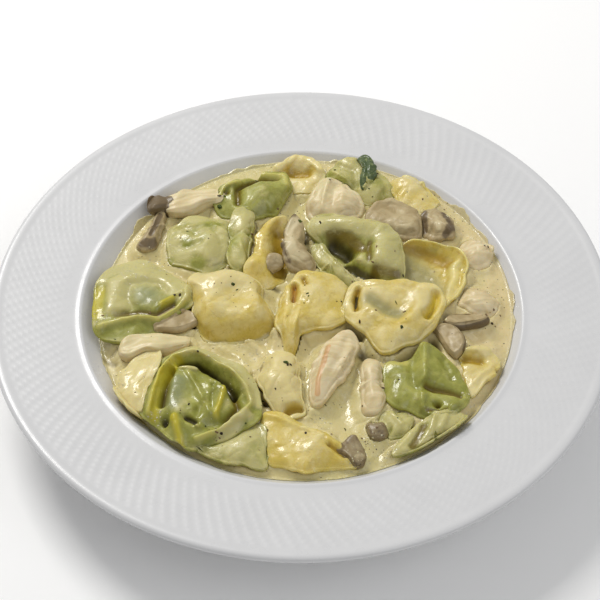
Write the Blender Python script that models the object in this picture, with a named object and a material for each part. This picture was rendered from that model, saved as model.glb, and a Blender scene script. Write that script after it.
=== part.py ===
"""Tortellini in cream sauce on a wide-rimmed pasta plate.

Every piece of food is its own solid: folded egg and spinach tortellini, chicken, mushroom slices
and the pool of sauce that carries them. The plate is one turned piece of porcelain.
Lengths are in metres, +Z is up, and the origin is at the middle of the foot's underside.
The food's own sizes and places are given in millimetres, as a cook would measure them.
"""

import itertools
import math
from dataclasses import dataclass

import bmesh
import bpy
from mathutils import Euler, Matrix, Vector
from mathutils.bvhtree import BVHTree

MM = 0.001

# The plate.
PLATE_RADIUS = 130 * MM
RIM_TOP = 34.5 * MM
WELL_RADIUS = 92 * MM
WELL_EDGE = 30 * MM
FLOOR_RADIUS = 66 * MM
FLOOR_TOP = 8 * MM
WALL = 4.5 * MM
FOOT_OUTER = 64 * MM
FOOT_INNER = 58 * MM
FOOT_HEIGHT = 3 * MM
PLATE_SIDES = 48

# The sauce.
SAUCE_LEVEL = 25.5 * MM
SAUCE_CELLS = 24
SAUCE_LEAST = 1 * MM
SAUCE_MARGIN = 0.7 * MM
SAUCE_TILT = 2 * MM
SAUCE_TILT_TOWARDS = math.radians(31)
SAUCE_SADDLE = 0.6 * MM
MOUND_HEIGHT = 1.5 * MM
MOUND_RADIUS = 45 * MM
MOUND_AT = (12 * MM, 8 * MM)

# The gap that keeps two touching solids apart, and the least room left for sauce under a piece.
GAP = 0.3 * MM
BED = 3.5 * MM

# How the sauce is pressed down where it touches food.
PRESS_ROUNDS = 30
PRESS_STEP = 0.3 * MM

# The least thickness of a piece where it is pressed against the well's wall.
LEAST_THICK = 1.8 * MM

# A parcel's rings of points: the share of the way from top to bottom that makes its top, and the
# share that turns round its edge. No groove is narrower than the rings can show.
TOP_SHARE = 0.62
LIP_SHARE = 0.12
STROKE_LEAST = 2.5

FINISHES = {
    "porcelain": ((0.80, 0.80, 0.81), 0.2),
    "sauce": ((0.72, 0.66, 0.38), 0.3),
    "egg_dough": ((0.80, 0.68, 0.28), 0.35),
    "spinach_dough": ((0.38, 0.44, 0.14), 0.35),
    "chicken": ((0.78, 0.66, 0.46), 0.45),
    "mushroom": ((0.36, 0.27, 0.20), 0.5),
}


def smoothstep(low, high, value):
    """Eases from 0 at low to 1 at high."""
    t = min(1.0, max(0.0, (value - low) / (high - low)))
    return t * t * (3 - 2 * t)


def bell(distance, width):
    """A smooth hump of height 1 at a distance of 0."""
    return math.exp(-((distance / width) ** 2))


def material(name, colour, roughness):
    """A Principled material of one colour, made once for each name."""
    found = bpy.data.materials.get(name)
    if found:
        return found
    made = bpy.data.materials.new(name)
    made.use_nodes = True
    shader = made.node_tree.nodes["Principled BSDF"]
    shader.inputs["Base Color"].default_value = (*colour, 1)
    shader.inputs["Roughness"].default_value = roughness
    shader.inputs["Metallic"].default_value = 0
    return made


def in_order(mesh):
    """A bmesh of a mesh, with its points and faces listed in an order that only its shape decides.

    A Boolean gives the same shape each time, but not always the same order, and a face's first
    corner decides how it is split into triangles.
    """
    points = [tuple(vert.co) for vert in mesh.vertices]
    ranked = sorted(range(len(points)), key=points.__getitem__)
    rank = {old: new for new, old in enumerate(ranked)}
    built = bmesh.new()
    corners = [built.verts.new(points[k]) for k in ranked]
    loops = []
    for face in mesh.polygons:
        loop = [rank[k] for k in face.vertices]
        first = loop.index(min(loop))
        loops.append(loop[first:] + loop[:first])
    for loop in sorted(loops):
        built.faces.new([corners[k] for k in loop])
    built.verts.index_update()
    built.normal_update()
    return built


def store(built, mesh):
    """Writes a finished bmesh into a mesh, with its lists in an order that only its shape decides."""
    built.to_mesh(mesh)
    built.free()
    ordered = in_order(mesh)
    ordered.to_mesh(mesh)
    ordered.free()
    mesh.shade_smooth()


def add_object(name, built, finish):
    """Links a new object whose mesh is the finished bmesh."""
    mesh = bpy.data.meshes.new(name)
    bmesh.ops.recalc_face_normals(built, faces=built.faces)
    store(built, mesh)
    mesh.materials.append(material(finish, *FINISHES[finish]))
    made = bpy.data.objects.new(name, mesh)
    bpy.context.collection.objects.link(made)
    return made


# ---------------------------------------------------------------- plate and sauce


def well_wall(radius):
    """Height of the well's inner surface at a radius: a flat floor, then a wall that rises in an arc."""
    if radius <= FLOOR_RADIUS:
        return FLOOR_TOP
    rise = min(1, (radius - FLOOR_RADIUS) / (WELL_RADIUS - FLOOR_RADIUS))
    return FLOOR_TOP + (WELL_EDGE - FLOOR_TOP) * rise**1.35


def plate_profile():
    """The turned outline, from the middle of the top, out over the rim and back along the underside."""
    wall_steps = 4
    top = [(0, FLOOR_TOP)]
    for k in range(wall_steps + 1):
        radius = FLOOR_RADIUS + (WELL_RADIUS - FLOOR_RADIUS) * k / wall_steps
        top.append((radius, well_wall(radius)))
    lip = 1.5 * MM
    top.append((WELL_RADIUS + 3 * MM, WELL_EDGE + 0.6 * MM))
    top.append((PLATE_RADIUS - lip, RIM_TOP))
    edge = [(PLATE_RADIUS, RIM_TOP - lip), (PLATE_RADIUS - lip, RIM_TOP - 3 * MM)]
    under = [(WELL_RADIUS + 4 * MM, WELL_EDGE - WALL + 0.5 * MM)]
    for k in (1, 0):
        radius = FLOOR_RADIUS + (WELL_RADIUS - FLOOR_RADIUS) * k / 2
        under.append((radius + 3 * MM, well_wall(radius) - WALL))
    foot = [
        (FOOT_OUTER, 0.6 * MM),
        (FOOT_OUTER - 0.6 * MM, 0),
        (FOOT_INNER, 0),
        (FOOT_INNER - 1.5 * MM, FOOT_HEIGHT),
        (0, FOOT_HEIGHT),
    ]
    return top + edge + under + foot


def build_plate():
    """Turns the profile round the plate's axis."""
    turned = bmesh.new()
    corners = [turned.verts.new((radius, 0, height)) for radius, height in plate_profile()]
    edges = [turned.edges.new(pair) for pair in zip(corners, corners[1:])]
    bmesh.ops.spin(
        turned,
        geom=corners + edges,
        cent=(0, 0, 0),
        axis=(0, 0, 1),
        angle=2 * math.pi,
        steps=PLATE_SIDES,
        use_merge=True,
    )
    bmesh.ops.remove_doubles(turned, verts=turned.verts, dist=0.01 * MM)
    return add_object("plate", turned, "porcelain")


def sauce_height(x, y):
    """Height of the thick sauce: lower at the left and front, and mounded under the heap."""
    radius = math.hypot(x, y)
    bearing = math.atan2(y, x)
    lean = smoothstep(0.3, 1.0, radius / WELL_RADIUS)
    tilt = SAUCE_TILT * math.cos(bearing - SAUCE_TILT_TOWARDS) - SAUCE_SADDLE * math.cos(2 * bearing)
    from_middle = math.hypot(x - MOUND_AT[0], y - MOUND_AT[1])
    return SAUCE_LEVEL + tilt * lean + MOUND_HEIGHT * bell(from_middle, MOUND_RADIUS)


def sauce_edge(bearing):
    """Radius at which the sauce meets the well's wall on a bearing."""
    low, high = FLOOR_RADIUS, WELL_RADIUS
    for _ in range(24):
        middle = (low + high) / 2
        level = sauce_height(middle * math.cos(bearing), middle * math.sin(bearing))
        if well_wall(middle) < level:
            low = middle
        else:
            high = middle
    return low


def underside(trees, x, y):
    """Height of the lowest surface of food above a point, or None where there is none."""
    start = Vector((x, y, FLOOR_TOP))
    hits = (tree.ray_cast(start, Vector((0, 0, 1)))[0] for tree in trees)
    heights = [hit.z for hit in hits if hit]
    return min(heights) if heights else None


def sauce_top(trees, x, y, reach):
    """Height of the sauce at a point, pressed down under every piece that lies within reach."""
    lowest = sauce_height(x, y)
    for ring in (0, 0.5 * reach, reach):
        for step in range(8 if ring else 1):
            turn = math.pi / 4 * step
            found = underside(trees, x + ring * math.cos(turn), y + ring * math.sin(turn))
            if found is not None:
                lowest = min(lowest, found - GAP)
    return lowest


def bed_height(x, y):
    """Height of the sauce's underside, a little above the well's inner surface."""
    return well_wall(math.hypot(x, y) + SAUCE_MARGIN) + SAUCE_MARGIN


def press_down(pool, tops, food):
    """Lowers the sauce's top in small steps wherever its faces still come within a gap of the food."""
    cutters = [grown(item, GAP) for item in food]
    trees = [tree_of(cutter) for cutter in cutters]
    for cutter in cutters:
        bpy.data.objects.remove(cutter)
    for _ in range(PRESS_ROUNDS):
        surface = BVHTree.FromBMesh(pool)
        pool.faces.ensure_lookup_table()
        touching = sorted({index for tree in trees for index, _ in surface.overlap(tree)})
        pressed = {vert for index in touching for vert in pool.faces[index].verts if vert in tops}
        for vert in pressed:
            x, y, z = vert.co
            vert.co.z = max(bed_height(x, y) + SAUCE_LEAST, z - PRESS_STEP)


def build_sauce(food):
    """A pool that fills the well up to its uneven surface, pressed down where food lies in it."""
    trees = [tree_of(item) for item in food]
    pool = bmesh.new()
    bmesh.ops.create_grid(pool, x_segments=SAUCE_CELLS, y_segments=SAUCE_CELLS, size=1)
    reach = 1.9 * WELL_RADIUS / SAUCE_CELLS
    for vert in pool.verts:
        across = vert.co.x * math.sqrt(1 - vert.co.y**2 / 2)
        along = vert.co.y * math.sqrt(1 - vert.co.x**2 / 2)
        bearing = math.atan2(along, across)
        radius = math.hypot(across, along) * (sauce_edge(bearing) - SAUCE_MARGIN)
        vert.co = Vector((radius * math.cos(bearing), radius * math.sin(bearing), 0))
    base = bmesh.ops.extrude_face_region(pool, geom=list(pool.faces))["geom"]
    lower = [part for part in base if isinstance(part, bmesh.types.BMVert)]
    under = set(lower)
    tops = {vert for vert in pool.verts if vert not in under}
    for vert in pool.verts:
        x, y = vert.co.xy
        bed = bed_height(x, y)
        vert.co.z = max(bed + SAUCE_LEAST, sauce_top(trees, x, y, reach)) if vert in tops else bed
    bmesh.ops.triangulate(pool, faces=[face for face in pool.faces if set(face.verts) <= tops])
    press_down(pool, tops, food)
    flat = [edge for edge in pool.edges if all(vert in under for vert in edge.verts)]
    bmesh.ops.dissolve_limit(pool, angle_limit=math.radians(4), verts=lower, edges=flat)
    bmesh.ops.triangulate(pool, faces=pool.faces)
    return add_object("sauce", pool, "sauce")


# ---------------------------------------------------------------- shapes of the food


def crossed_waves(point, seed):
    """An offset that looks random but repeats exactly: crossed waves of uneven length and direction."""
    x, y, z = point
    first = (1.7 * y + 2.3 * z + 1.3 * seed, 1.9 * z + 2.1 * x + 2.1 * seed, 2.2 * x - 1.6 * y + 1.7 * seed)
    second = (3.1 * z - 1.9 * x + 2.9 * seed, 2.9 * x + 1.7 * y + 0.7 * seed, 3.3 * y - 1.3 * z + 3.1 * seed)
    return Vector([math.sin(one) + 0.6 * math.sin(other) for one, other in zip(first, second)])


def roughen(built, seed, size, depth):
    """Moves every point a little, for dents and swellings of the given size and depth in mm."""
    for vert in built.verts:
        vert.co += crossed_waves(vert.co / (size * MM), seed) * depth * MM


@dataclass(frozen=True)
class Stroke:
    """A ridge, groove or dent along a line on a parcel's top (mm).

    Lift is its height, below 0 for a groove. Width is how far it spreads to each side.
    """

    path: tuple
    width: float
    lift: float

    def height(self, x, y):
        """What it adds to the top at a place."""
        nearest = math.inf
        for (ax, ay), (bx, by) in zip(self.path, self.path[1:] or self.path):
            dx, dy = bx - ax, by - ay
            long = dx * dx + dy * dy
            t = max(0, min(1, ((x - ax) * dx + (y - ay) * dy) / long)) if long else 0
            nearest = min(nearest, math.hypot(x - ax - dx * t, y - ay - dy * t))
        return self.lift * bell(nearest, max(self.width, STROKE_LEAST))


@dataclass(frozen=True)
class Parcel:
    """A piece sculpted from above: its edge as places (x, y, z) in mm round its crown, and strokes.

    The top runs from the crown to the edge, flat for longer the boxier it is. The edge is as thick
    as the dough, and the belly hangs from it by under.
    """

    crown: tuple
    edge: tuple
    strokes: tuple = ()
    boxy: float = 3
    dough: float = 2.4
    under: float = 10
    around: int = 12
    rings: int = 7

    def edge_at(self, bearing):
        """Reach and height of the edge on a bearing from the crown."""
        crown_x, crown_y, _ = self.crown
        ends = [(math.atan2(y - crown_y, x - crown_x), x - crown_x, y - crown_y, z) for x, y, z in self.edge]
        ends.sort()
        before = [end for end in ends if end[0] <= bearing] or ends
        after = [end for end in ends if end[0] > bearing] or ends
        _, ax, ay, az = before[-1]
        _, bx, by, bz = after[0]
        along, across = math.cos(bearing), math.sin(bearing)
        side_a = along * ay - across * ax
        side_b = along * by - across * bx
        t = side_a / (side_a - side_b)
        return math.hypot(ax + (bx - ax) * t, ay + (by - ay) * t), az + (bz - az) * t

    def build(self, seed):
        """Wraps the top, the edge and the belly on a sphere's rings."""
        built = bmesh.new()
        bmesh.ops.create_uvsphere(built, u_segments=self.around, v_segments=self.rings, radius=1)
        half = self.dough / 2
        for vert in built.verts:
            bearing = math.atan2(vert.co.y, vert.co.x)
            share = math.acos(max(-1, min(1, vert.co.z))) / math.pi
            reach, edge_z = self.edge_at(bearing)
            t = min(1, share / TOP_SHARE)
            turn = max(0, min(1, (share - TOP_SHARE) / LIP_SHARE)) * math.pi
            back = max(0, (share - TOP_SHARE - LIP_SHARE) / (1 - TOP_SHARE - LIP_SHARE))
            out = min(0.5 * t + 0.5 * math.sin(t * math.pi / 2), 1 - back)
            along, across = math.cos(bearing), math.sin(bearing)
            x = self.crown[0] + (reach - half) * out * along
            y = self.crown[1] + (reach - half) * out * across
            z = self.crown[2] + (edge_z - self.crown[2]) * out**self.boxy
            z += sum(stroke.height(x, y) for stroke in self.strokes)
            if back:
                z = min(edge_z - self.dough - self.under * smoothstep(0, 0.6, back), z - self.dough)
            elif share > TOP_SHARE:
                z += half * math.cos(turn) - half
            proud = half * math.sin(turn)
            vert.co = Vector((x + proud * along, y + proud * across, z)) * MM
        roughen(built, seed, 9, 0.6)
        return built


@dataclass(frozen=True)
class Chunk:
    """A piece of chicken or a lump of mushroom: a rounded block, slimmer towards +X by taper."""

    length: float = 24
    width: float = 12
    thick: float = 9
    square: float = 2.8
    taper: float = 0.2

    def build(self, seed):
        """Squares a sphere up and tapers it."""
        built = bmesh.new()
        bmesh.ops.create_uvsphere(built, u_segments=8, v_segments=6, radius=1)
        for vert in built.verts:
            along, across, up = (
                math.copysign(abs(part) ** (2 / self.square), part)
                for part in (vert.co.z, vert.co.x, vert.co.y)
            )
            slim = 1 - self.taper * along
            x = along * self.length / 2
            y = across * slim * self.width / 2
            z = up * slim * self.thick / 2
            vert.co = Vector((x, y, z)) * MM
        roughen(built, seed, 6, 0.6)
        return built


@dataclass(frozen=True)
class Slice:
    """A slice of mushroom: a cap or a strip, cut to an even thickness."""

    size: float = 24
    kind: str = "cap"
    thick: float = 4

    def outline(self):
        """The cut edge in the slice's own plane."""
        size = self.size
        if self.kind == "strip":
            turns = [2 * math.pi * k / 10 for k in range(10)]
            return [(math.cos(a) * size / 2, math.sin(a) * size * 0.18) for a in turns]
        crown = [math.radians(-10 + 200 * k / 8) for k in range(9)]
        points = [(math.cos(a) * size / 2, math.sin(a) * size * 0.42) for a in crown]
        return points + [(-size * 0.12, -size * 0.14), (size * 0.12, -size * 0.14)]

    def build(self, seed):
        """Fills the outline and gives it its thickness."""
        built = bmesh.new()
        face = built.faces.new([built.verts.new((x * MM, y * MM, 0)) for x, y in self.outline()])
        pushed = bmesh.ops.extrude_face_region(built, geom=[face])
        moved = [part for part in pushed["geom"] if isinstance(part, bmesh.types.BMVert)]
        bmesh.ops.translate(built, verts=moved, vec=(0, 0, self.thick * MM))
        bmesh.ops.triangulate(built, faces=built.faces)
        bmesh.ops.translate(built, verts=built.verts, vec=(0, 0, -self.thick / 2 * MM))
        roughen(built, seed, 8, 0.4)
        return built


def lay_on_bed(built):
    """Lifts what would sink into the plate, so that it lies on a bed of sauce along the well's wall."""
    built.normal_update()
    for vert in built.verts:
        bed = well_wall(math.hypot(*vert.co.xy)) + BED
        if vert.normal.z > 0:
            bed += LEAST_THICK
        vert.co.z = max(vert.co.z, bed)


@dataclass(frozen=True)
class Piece:
    """One piece of food: its shape, and where and how it lies (mm and degrees)."""

    name: str
    finish: str
    shape: object
    place: tuple = (0, 0, 0)
    heading: float = 0
    tilt: float = 0

    def add(self, seed):
        """Builds the shape, turns it and sets it in its place."""
        built = self.shape.build(seed)
        turn = Euler((math.radians(self.tilt), 0, math.radians(self.heading)), "XYZ")
        move = Matrix.Translation(Vector(self.place) * MM)
        bmesh.ops.transform(built, matrix=move @ turn.to_matrix().to_4x4(), verts=built.verts)
        lay_on_bed(built)
        bmesh.ops.triangulate(built, faces=built.faces)
        return add_object(self.name, built, self.finish)


EGG = "egg_dough"
SPINACH = "spinach_dough"
CHICKEN = "chicken"
MUSHROOM = "mushroom"

# The heap, from the pieces on top to the ones that lie lowest. A piece keeps its form where it
# meets those below it, and they are cut back to make room for it.
HEAP = [
    Piece("tortellino_egg_01", EGG, Parcel(
        crown=(38, -9, 38.5), boxy=3.5, around=16, rings=8,
        edge=((60, -2, 36), (57, 4, 37), (51, 7, 37.5), (45, 8.5, 37.5), (38, 8, 37), (31, 8.5, 37.5),
              (25, 8, 37), (20, 5, 36), (17, 0, 36), (15.5, -5, 35.5), (16.5, -10, 35), (22, -16, 35),
              (28, -22, 34.5), (32, -29, 33.5), (36, -29.5, 33.5), (43, -26, 34), (50, -22, 34.5),
              (56, -17, 35), (59, -8, 36)),
        strokes=(Stroke(((23, 3), (21, -3), (22, -8)), 1.8, -3),
                 Stroke(((54, 0), (53, -6), (51, -11)), 1.8, -3.2),
                 Stroke(((25, 4), (36, 4), (48, 4)), 1.3, -0.9),
                 Stroke(((30, -8), (39, -10)), 4.5, -2.2),
                 Stroke(((26, 0), (27, -10), (33, -16)), 2.2, 0.8),
                 Stroke(((49, 0), (48, -9), (43, -16)), 2.2, 0.9)))),
    Piece("mushroom_01", MUSHROOM, Parcel(
        crown=(-2, 30, 37), boxy=3, dough=3.5, under=7,
        edge=((1, 42, 36), (-3, 47, 37), (-6, 41, 36.5), (-7, 34, 36), (-9, 26, 35), (-7, 19, 34),
              (-2, 16, 33), (3, 15, 32), (6, 20, 32), (4, 26, 33), (1.5, 30, 34), (1.5, 36, 35)),
        strokes=(Stroke(((-3, 46), (-6, 36), (-8, 27), (-6, 20)), 1.3, 0.9),))),
    Piece("tortellino_spinach_01", SPINACH, Parcel(
        crown=(28, 29, 38), boxy=3.5, around=16, rings=8,
        edge=((44, 25, 34), (43.5, 32, 35), (40, 38, 36), (35, 41.5, 36.5), (28, 43.5, 37), (20, 45.5, 37),
              (12, 47.5, 37), (5, 46, 36), (2, 41, 35), (4, 37, 34), (8, 33, 33), (13, 27, 31.5),
              (18, 21, 31), (24, 16, 31), (30, 12.5, 31.5), (36, 10.5, 31.5), (42, 11, 32), (44, 17, 33)),
        strokes=(Stroke(((14, 34), (20, 28)), 4.2, -9),
                 Stroke(((23, 20), (28, 16), (35, 13)), 1.6, -2.2),
                 Stroke(((7, 42), (20, 41), (34, 37)), 3.5, 1.5),
                 Stroke(((37, 30), (36, 18)), 4.5, 1),
                 Stroke(((30, 30), (29, 20)), 1.8, -1.2)))),
    Piece("tortellino_egg_02", EGG, Parcel(
        crown=(-29, -1, 37.5), boxy=5,
        edge=((-10.5, -9, 30), (-12, -3, 31), (-15, 3, 32), (-17, 9, 33), (-22, 13, 33.5), (-30, 15.5, 34),
              (-38, 16.5, 34), (-45, 15, 34), (-49, 9, 34), (-47, 5, 33.5), (-46, 0, 32), (-45.5, -8, 30),
              (-43, -15, 28), (-38, -18, 27), (-30, -19, 27), (-20, -18, 27), (-12, -15, 28)),
        strokes=(Stroke(((-48, 9), (-42, 1), (-37, -9)), 2.5, 0.9),
                 Stroke(((-27, 1), (-25, -5)), 5, -1.3),
                 Stroke(((-16, 5), (-14, -8)), 3, -0.8)))),
    Piece("tortellino_egg_03", EGG, Parcel(
        crown=(0, -6, 37), boxy=3,
        edge=((21, 3, 34), (18, 9, 34), (12, 13.5, 35), (5, 16, 35), (0, 15, 35), (-3, 11, 35.5),
              (-6, 7, 35.5), (-8.5, 2, 35), (-10, -4, 34), (-11, -10, 33), (-9, -18, 31.5), (-7, -27, 30),
              (-4.5, -30, 28.5), (-2.5, -26, 30), (-1, -20, 32), (2, -17.5, 33), (8, -15.5, 33),
              (14, -14, 33), (20, -11, 33.5)),
        strokes=(Stroke(((-3, 6), (-3.5, -3)), 1.4, -4),
                 Stroke(((1.5, 11), (2, 8)), 1.3, -2.5),
                 Stroke(((-3.5, -6), (-4.5, -20)), 1.6, -0.9),
                 Stroke(((-7, 3), (-8, -8), (-6, -20)), 2, 0.9)))),
    Piece("tortellino_egg_04", EGG, Parcel(
        crown=(54, 17, 24), boxy=5.5, under=4, rings=10,
        edge=((71.5, 21, 33.5), (68, 27.5, 34), (62, 31.5, 34.5), (55, 34, 34.5), (48, 35, 34),
              (42, 32, 33), (39, 24, 31.5), (40, 12, 31), (45, 2, 31), (52, -4, 31), (60, -2, 31.5),
              (66, 4, 32), (69, 9, 32.5), (71, 15, 33)),
        strokes=(Stroke(((67, 22), (67, 13), (62, 4)), 3.2, 3.5),))),
    Piece("tortellino_egg_05", EGG, Parcel(
        crown=(-14, 30, 34), boxy=3,
        edge=((-4, 32, 30), (-4, 42, 32), (-7, 48, 35), (-13, 46, 36), (-17, 42, 36), (-20, 35, 35),
              (-21, 27, 34), (-24, 22, 33), (-26, 18, 32), (-24, 14, 31), (-19, 11, 31), (-14, 9, 30),
              (-8, 14, 29), (-5, 22, 29)),
        strokes=(Stroke(((-9, 38), (-10, 20)), 4.2, -4.5),
                 Stroke(((-12, 45), (-17, 33), (-18, 26)), 2.2, 1.4),
                 Stroke(((-21, 19),), 4, 2)))),
    Piece("chicken_01", CHICKEN, Parcel(
        crown=(15, 58, 38), boxy=3, dough=4, under=7,
        edge=((27, 51, 32), (27, 58, 34), (23, 65, 35), (17, 70, 36), (11, 71, 36), (7, 66, 35.5),
              (3, 59, 34), (2, 51, 32), (9, 46, 32), (19, 46, 32)),
        strokes=(Stroke(((9, 52), (13, 68)), 1.4, 0.9), Stroke(((13, 50), (17, 66)), 1.6, -0.8)))),
    Piece("chicken_04", CHICKEN, Parcel(
        crown=(13, -35, 37), boxy=2.4, dough=4, under=7,
        edge=((22, -33, 34), (23.5, -24, 34.5), (21, -18, 35), (14, -20, 35), (8, -26, 34.5), (4.5, -35, 33.5),
              (2.5, -44, 32), (3, -53, 31), (7, -54, 31.5), (13, -48, 32.5), (19, -41, 33.5)))),
    Piece("tortellino_spinach_02", SPINACH, Parcel(
        crown=(-67, 2, 33), boxy=3, around=16, rings=8,
        edge=((-46, -2, 32.5), (-47, 7, 32), (-52, 13, 31), (-58, 20, 31), (-66, 24, 31), (-75, 23, 31),
              (-82, 19, 32), (-87, 11, 33), (-88, 2, 33), (-87, -8, 32.5), (-84, -18, 31.5),
              (-76, -22, 30), (-68, -21, 30), (-60, -17, 30.5), (-52, -10, 31.5)),
        strokes=(Stroke(((-81, 13), (-83, 3), (-82, -6)), 2.4, -3.2),
                 Stroke(((-81, -12), (-72, -10), (-62, -9.5), (-54, -6), (-49, 1), (-48, 6)), 1.5, 2.6),
                 Stroke(((-78, -6), (-66, -5.5), (-58, -3), (-52, 3)), 1.8, -2.4),
                 Stroke(((-62, 0), (-56, 4), (-51, 7)), 1.4, 1.4),
                 Stroke(((-75, 6), (-72, 12), (-64, 14), (-58, 9)), 1.4, -1),
                 Stroke(((-78, 6), (-75, 15), (-65, 18), (-56, 13)), 1.3, 0.8),
                 Stroke(((-67, 4),), 6, 1.8)))),
    Piece("tortellino_spinach_03", SPINACH, Parcel(
        crown=(-43, 35, 34.5), boxy=2.2,
        edge=((-29, 37, 31), (-32, 47, 31), (-40, 51, 31.5), (-50, 50, 31), (-58, 43, 30), (-60, 33, 29.5),
              (-56, 24, 29.5), (-46, 20, 29.5), (-35, 20, 29.5), (-29, 27, 30)),
        strokes=(Stroke(((-49, 44), (-38, 45), (-32, 38)), 1.4, 0.9),
                 Stroke(((-46, 38), (-38, 40), (-35, 32)), 1.4, -1.1),
                 Stroke(((-52, 30), (-44, 33)), 1.6, -0.9)))),
    Piece("tortellino_spinach_05", SPINACH, Parcel(
        crown=(-26, 37, 36), boxy=2.4, under=8,
        edge=((-20, 43, 33.5), (-21, 51, 34), (-25, 54, 35), (-30, 52, 35), (-32, 43, 34.5), (-31, 34, 34),
              (-33, 27, 32), (-31, 20, 31), (-25, 18, 31), (-23, 26, 31.5), (-21, 34, 32.5)),
        strokes=(Stroke(((-28, 30), (-26, 24)), 2, -1),),
        around=10, rings=6)),
    Piece("spinach_leaf", SPINACH, Parcel(
        crown=(29, 74, 38.5), boxy=2, dough=1.8, under=1.5,
        edge=((33, 75, 37.5), (30, 82, 38), (25, 82, 37), (27, 75, 37.5), (26, 69, 36.5), (28, 64, 35.5),
              (32, 68, 36.5)),
        strokes=(Stroke(((29, 80), (29, 67)), 0.8, -0.8),), around=10, rings=6)),
    Piece("tortellino_spinach_04", SPINACH, Parcel(
        crown=(-19, 61, 35.5), boxy=2.6,
        edge=((-4, 67, 33), (-8, 74, 34), (-16, 76, 34.5), (-22, 74, 34), (-28, 71, 33.5), (-36, 69, 33),
              (-38, 64, 32), (-38, 56, 31), (-34, 50, 31), (-26, 49, 31), (-16, 51, 31), (-10, 54, 31),
              (-6, 60, 32)),
        strokes=(Stroke(((-18, 62),), 8, 2.2),
                 Stroke(((-27, 57), (-28, 65), (-20, 72), (-12, 71)), 1.8, -3),
                 Stroke(((-36, 60), (-35, 66), (-28, 69)), 1.5, 1.6),
                 Stroke(((-33, 63),), 1.6, -2),
                 Stroke(((-17, 74.5), (-9, 72), (-7, 66)), 1.8, 1.2)))),
    Piece("tortellino_spinach_06", SPINACH, Parcel(
        crown=(25, 73, 36), boxy=2.6,
        edge=((42, 66, 31), (38, 72, 33), (33, 80, 35), (26, 84, 35.5), (19, 83, 35), (13, 78, 34),
              (11, 70, 32), (17, 66, 33), (22, 66, 33), (26, 60, 31), (34, 58, 30), (40, 60, 30)),
        strokes=(Stroke(((17, 80), (24, 76), (24, 68)), 1.8, -1.4),
                 Stroke(((14, 74), (20, 70)), 1.8, 1), Stroke(((35, 74), (38, 65)), 2.2, -0.9)))),
    Piece("tortellino_egg_06", EGG, Parcel(
        crown=(-1, 76, 31.5), boxy=2.6, under=7,
        edge=((11, 74, 32), (9, 81, 33.5), (3, 86, 34), (-5, 86, 34), (-10, 82, 33.5), (-13, 77, 32),
              (-12, 72, 31), (-7, 68, 30), (1, 66, 30), (8, 67, 31)),
        strokes=(Stroke(((-10, 79), (-3, 84), (4, 83), (8, 77)), 2, 1.4),
                 Stroke(((-4, 79), (3, 77)), 2.6, -2)))),
    Piece("tortellino_egg_07", EGG, Parcel(
        crown=(50, 66, 33.5), boxy=2.6, under=7,
        edge=((61, 61, 31), (57, 68, 31), (50, 74, 31.5), (43, 75, 31.5), (40, 71, 31), (41, 64, 31),
              (44, 57, 31), (50, 53, 31), (57, 54, 31)), around=10, rings=6)),
    Piece("mushroom_02", MUSHROOM, Parcel(
        crown=(41, 47, 35.5), boxy=4, dough=3.4, under=6,
        edge=((53, 43, 33), (52, 50, 34), (48, 56, 34.5), (41, 58.5, 35), (34, 57, 34.5), (29, 52, 34),
              (27, 46, 33), (33, 40, 32), (42, 36, 32), (51, 37, 32)),
        strokes=(Stroke(((38, 52), (46, 48)), 3.5, -0.8),))),
    Piece("mushroom_03", MUSHROOM, Parcel(
        crown=(59, 44, 36.5), boxy=2.2, dough=3.5, under=6,
        edge=((67, 42, 33), (65, 50, 34), (59, 53, 34.5), (53, 51, 34), (51, 45, 33), (53, 38, 32),
              (59, 35, 32), (65, 36, 32)),
        strokes=(Stroke(((59, 46), (59, 40)), 1.6, -0.9),), around=10, rings=6)),
    Piece("chicken_02", CHICKEN, Parcel(
        crown=(76, 30, 33), boxy=2.6, dough=3.5, under=5,
        edge=((83, 25, 31), (83, 31, 31), (78, 36, 31), (71, 38, 31), (67, 31, 30.5), (71, 23, 30.5),
              (78, 20, 30.5)), around=10, rings=6)),
    Piece("chicken_03", CHICKEN, Parcel(
        crown=(75, 2, 32.5), boxy=2.6, dough=3.5, under=5,
        edge=((83, 0, 30.5), (81, 6, 30.5), (74, 9, 31), (68, 7, 30.5), (66, 0, 30), (71, -5, 30),
              (79, -6, 30)), around=10, rings=6)),
    Piece("mushroom_04", MUSHROOM, Slice(20, "strip", 5), (68, -11, 31), heading=6, tilt=-12),
    Piece("mushroom_05", MUSHROOM, Slice(18, "cap", 5), (60, -22, 31), heading=-60, tilt=8),
    Piece("tortellino_spinach_08", SPINACH, Parcel(
        crown=(50, -44, 34.5), boxy=2.8, around=16, rings=8,
        edge=((67, -44, 31.5), (63, -36, 32.5), (58, -30, 33.5), (54, -25, 34), (50, -24, 34.5),
              (45, -30, 33.5), (40, -33, 33), (34, -33, 32), (33, -40, 31), (32, -47, 31), (35, -54, 31),
              (41, -58, 31), (48, -61, 31), (55, -62, 31), (62, -59, 31), (67, -52, 31)),
        strokes=(Stroke(((50, -27), (49, -36), (50, -43)), 2.2, 2.2),
                 Stroke(((45, -36), (46, -47)), 2.2, -1.6),
                 Stroke(((51, -46), (57, -48), (63, -51)), 1.5, -2.6),
                 Stroke(((54, -54.5),), 1.5, -4),
                 Stroke(((49, -51), (48, -57), (54, -60), (61, -56)), 1.6, 1.6),
                 Stroke(((50, -58), (57, -57.5)), 1.1, -1.8),
                 Stroke(((57, -33), (61, -43)), 1.4, -1.2),
                 Stroke(((38, -42), (37, -52)), 3, 0.9)))),
    Piece("tortellino_spinach_09", SPINACH, Parcel(
        crown=(51, -69, 33.5), boxy=2.6, under=4,
        edge=((64, -64, 32), (65, -60, 32), (58, -58, 32.5), (50, -61, 32.5), (43, -66, 32), (38, -73, 31),
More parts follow.
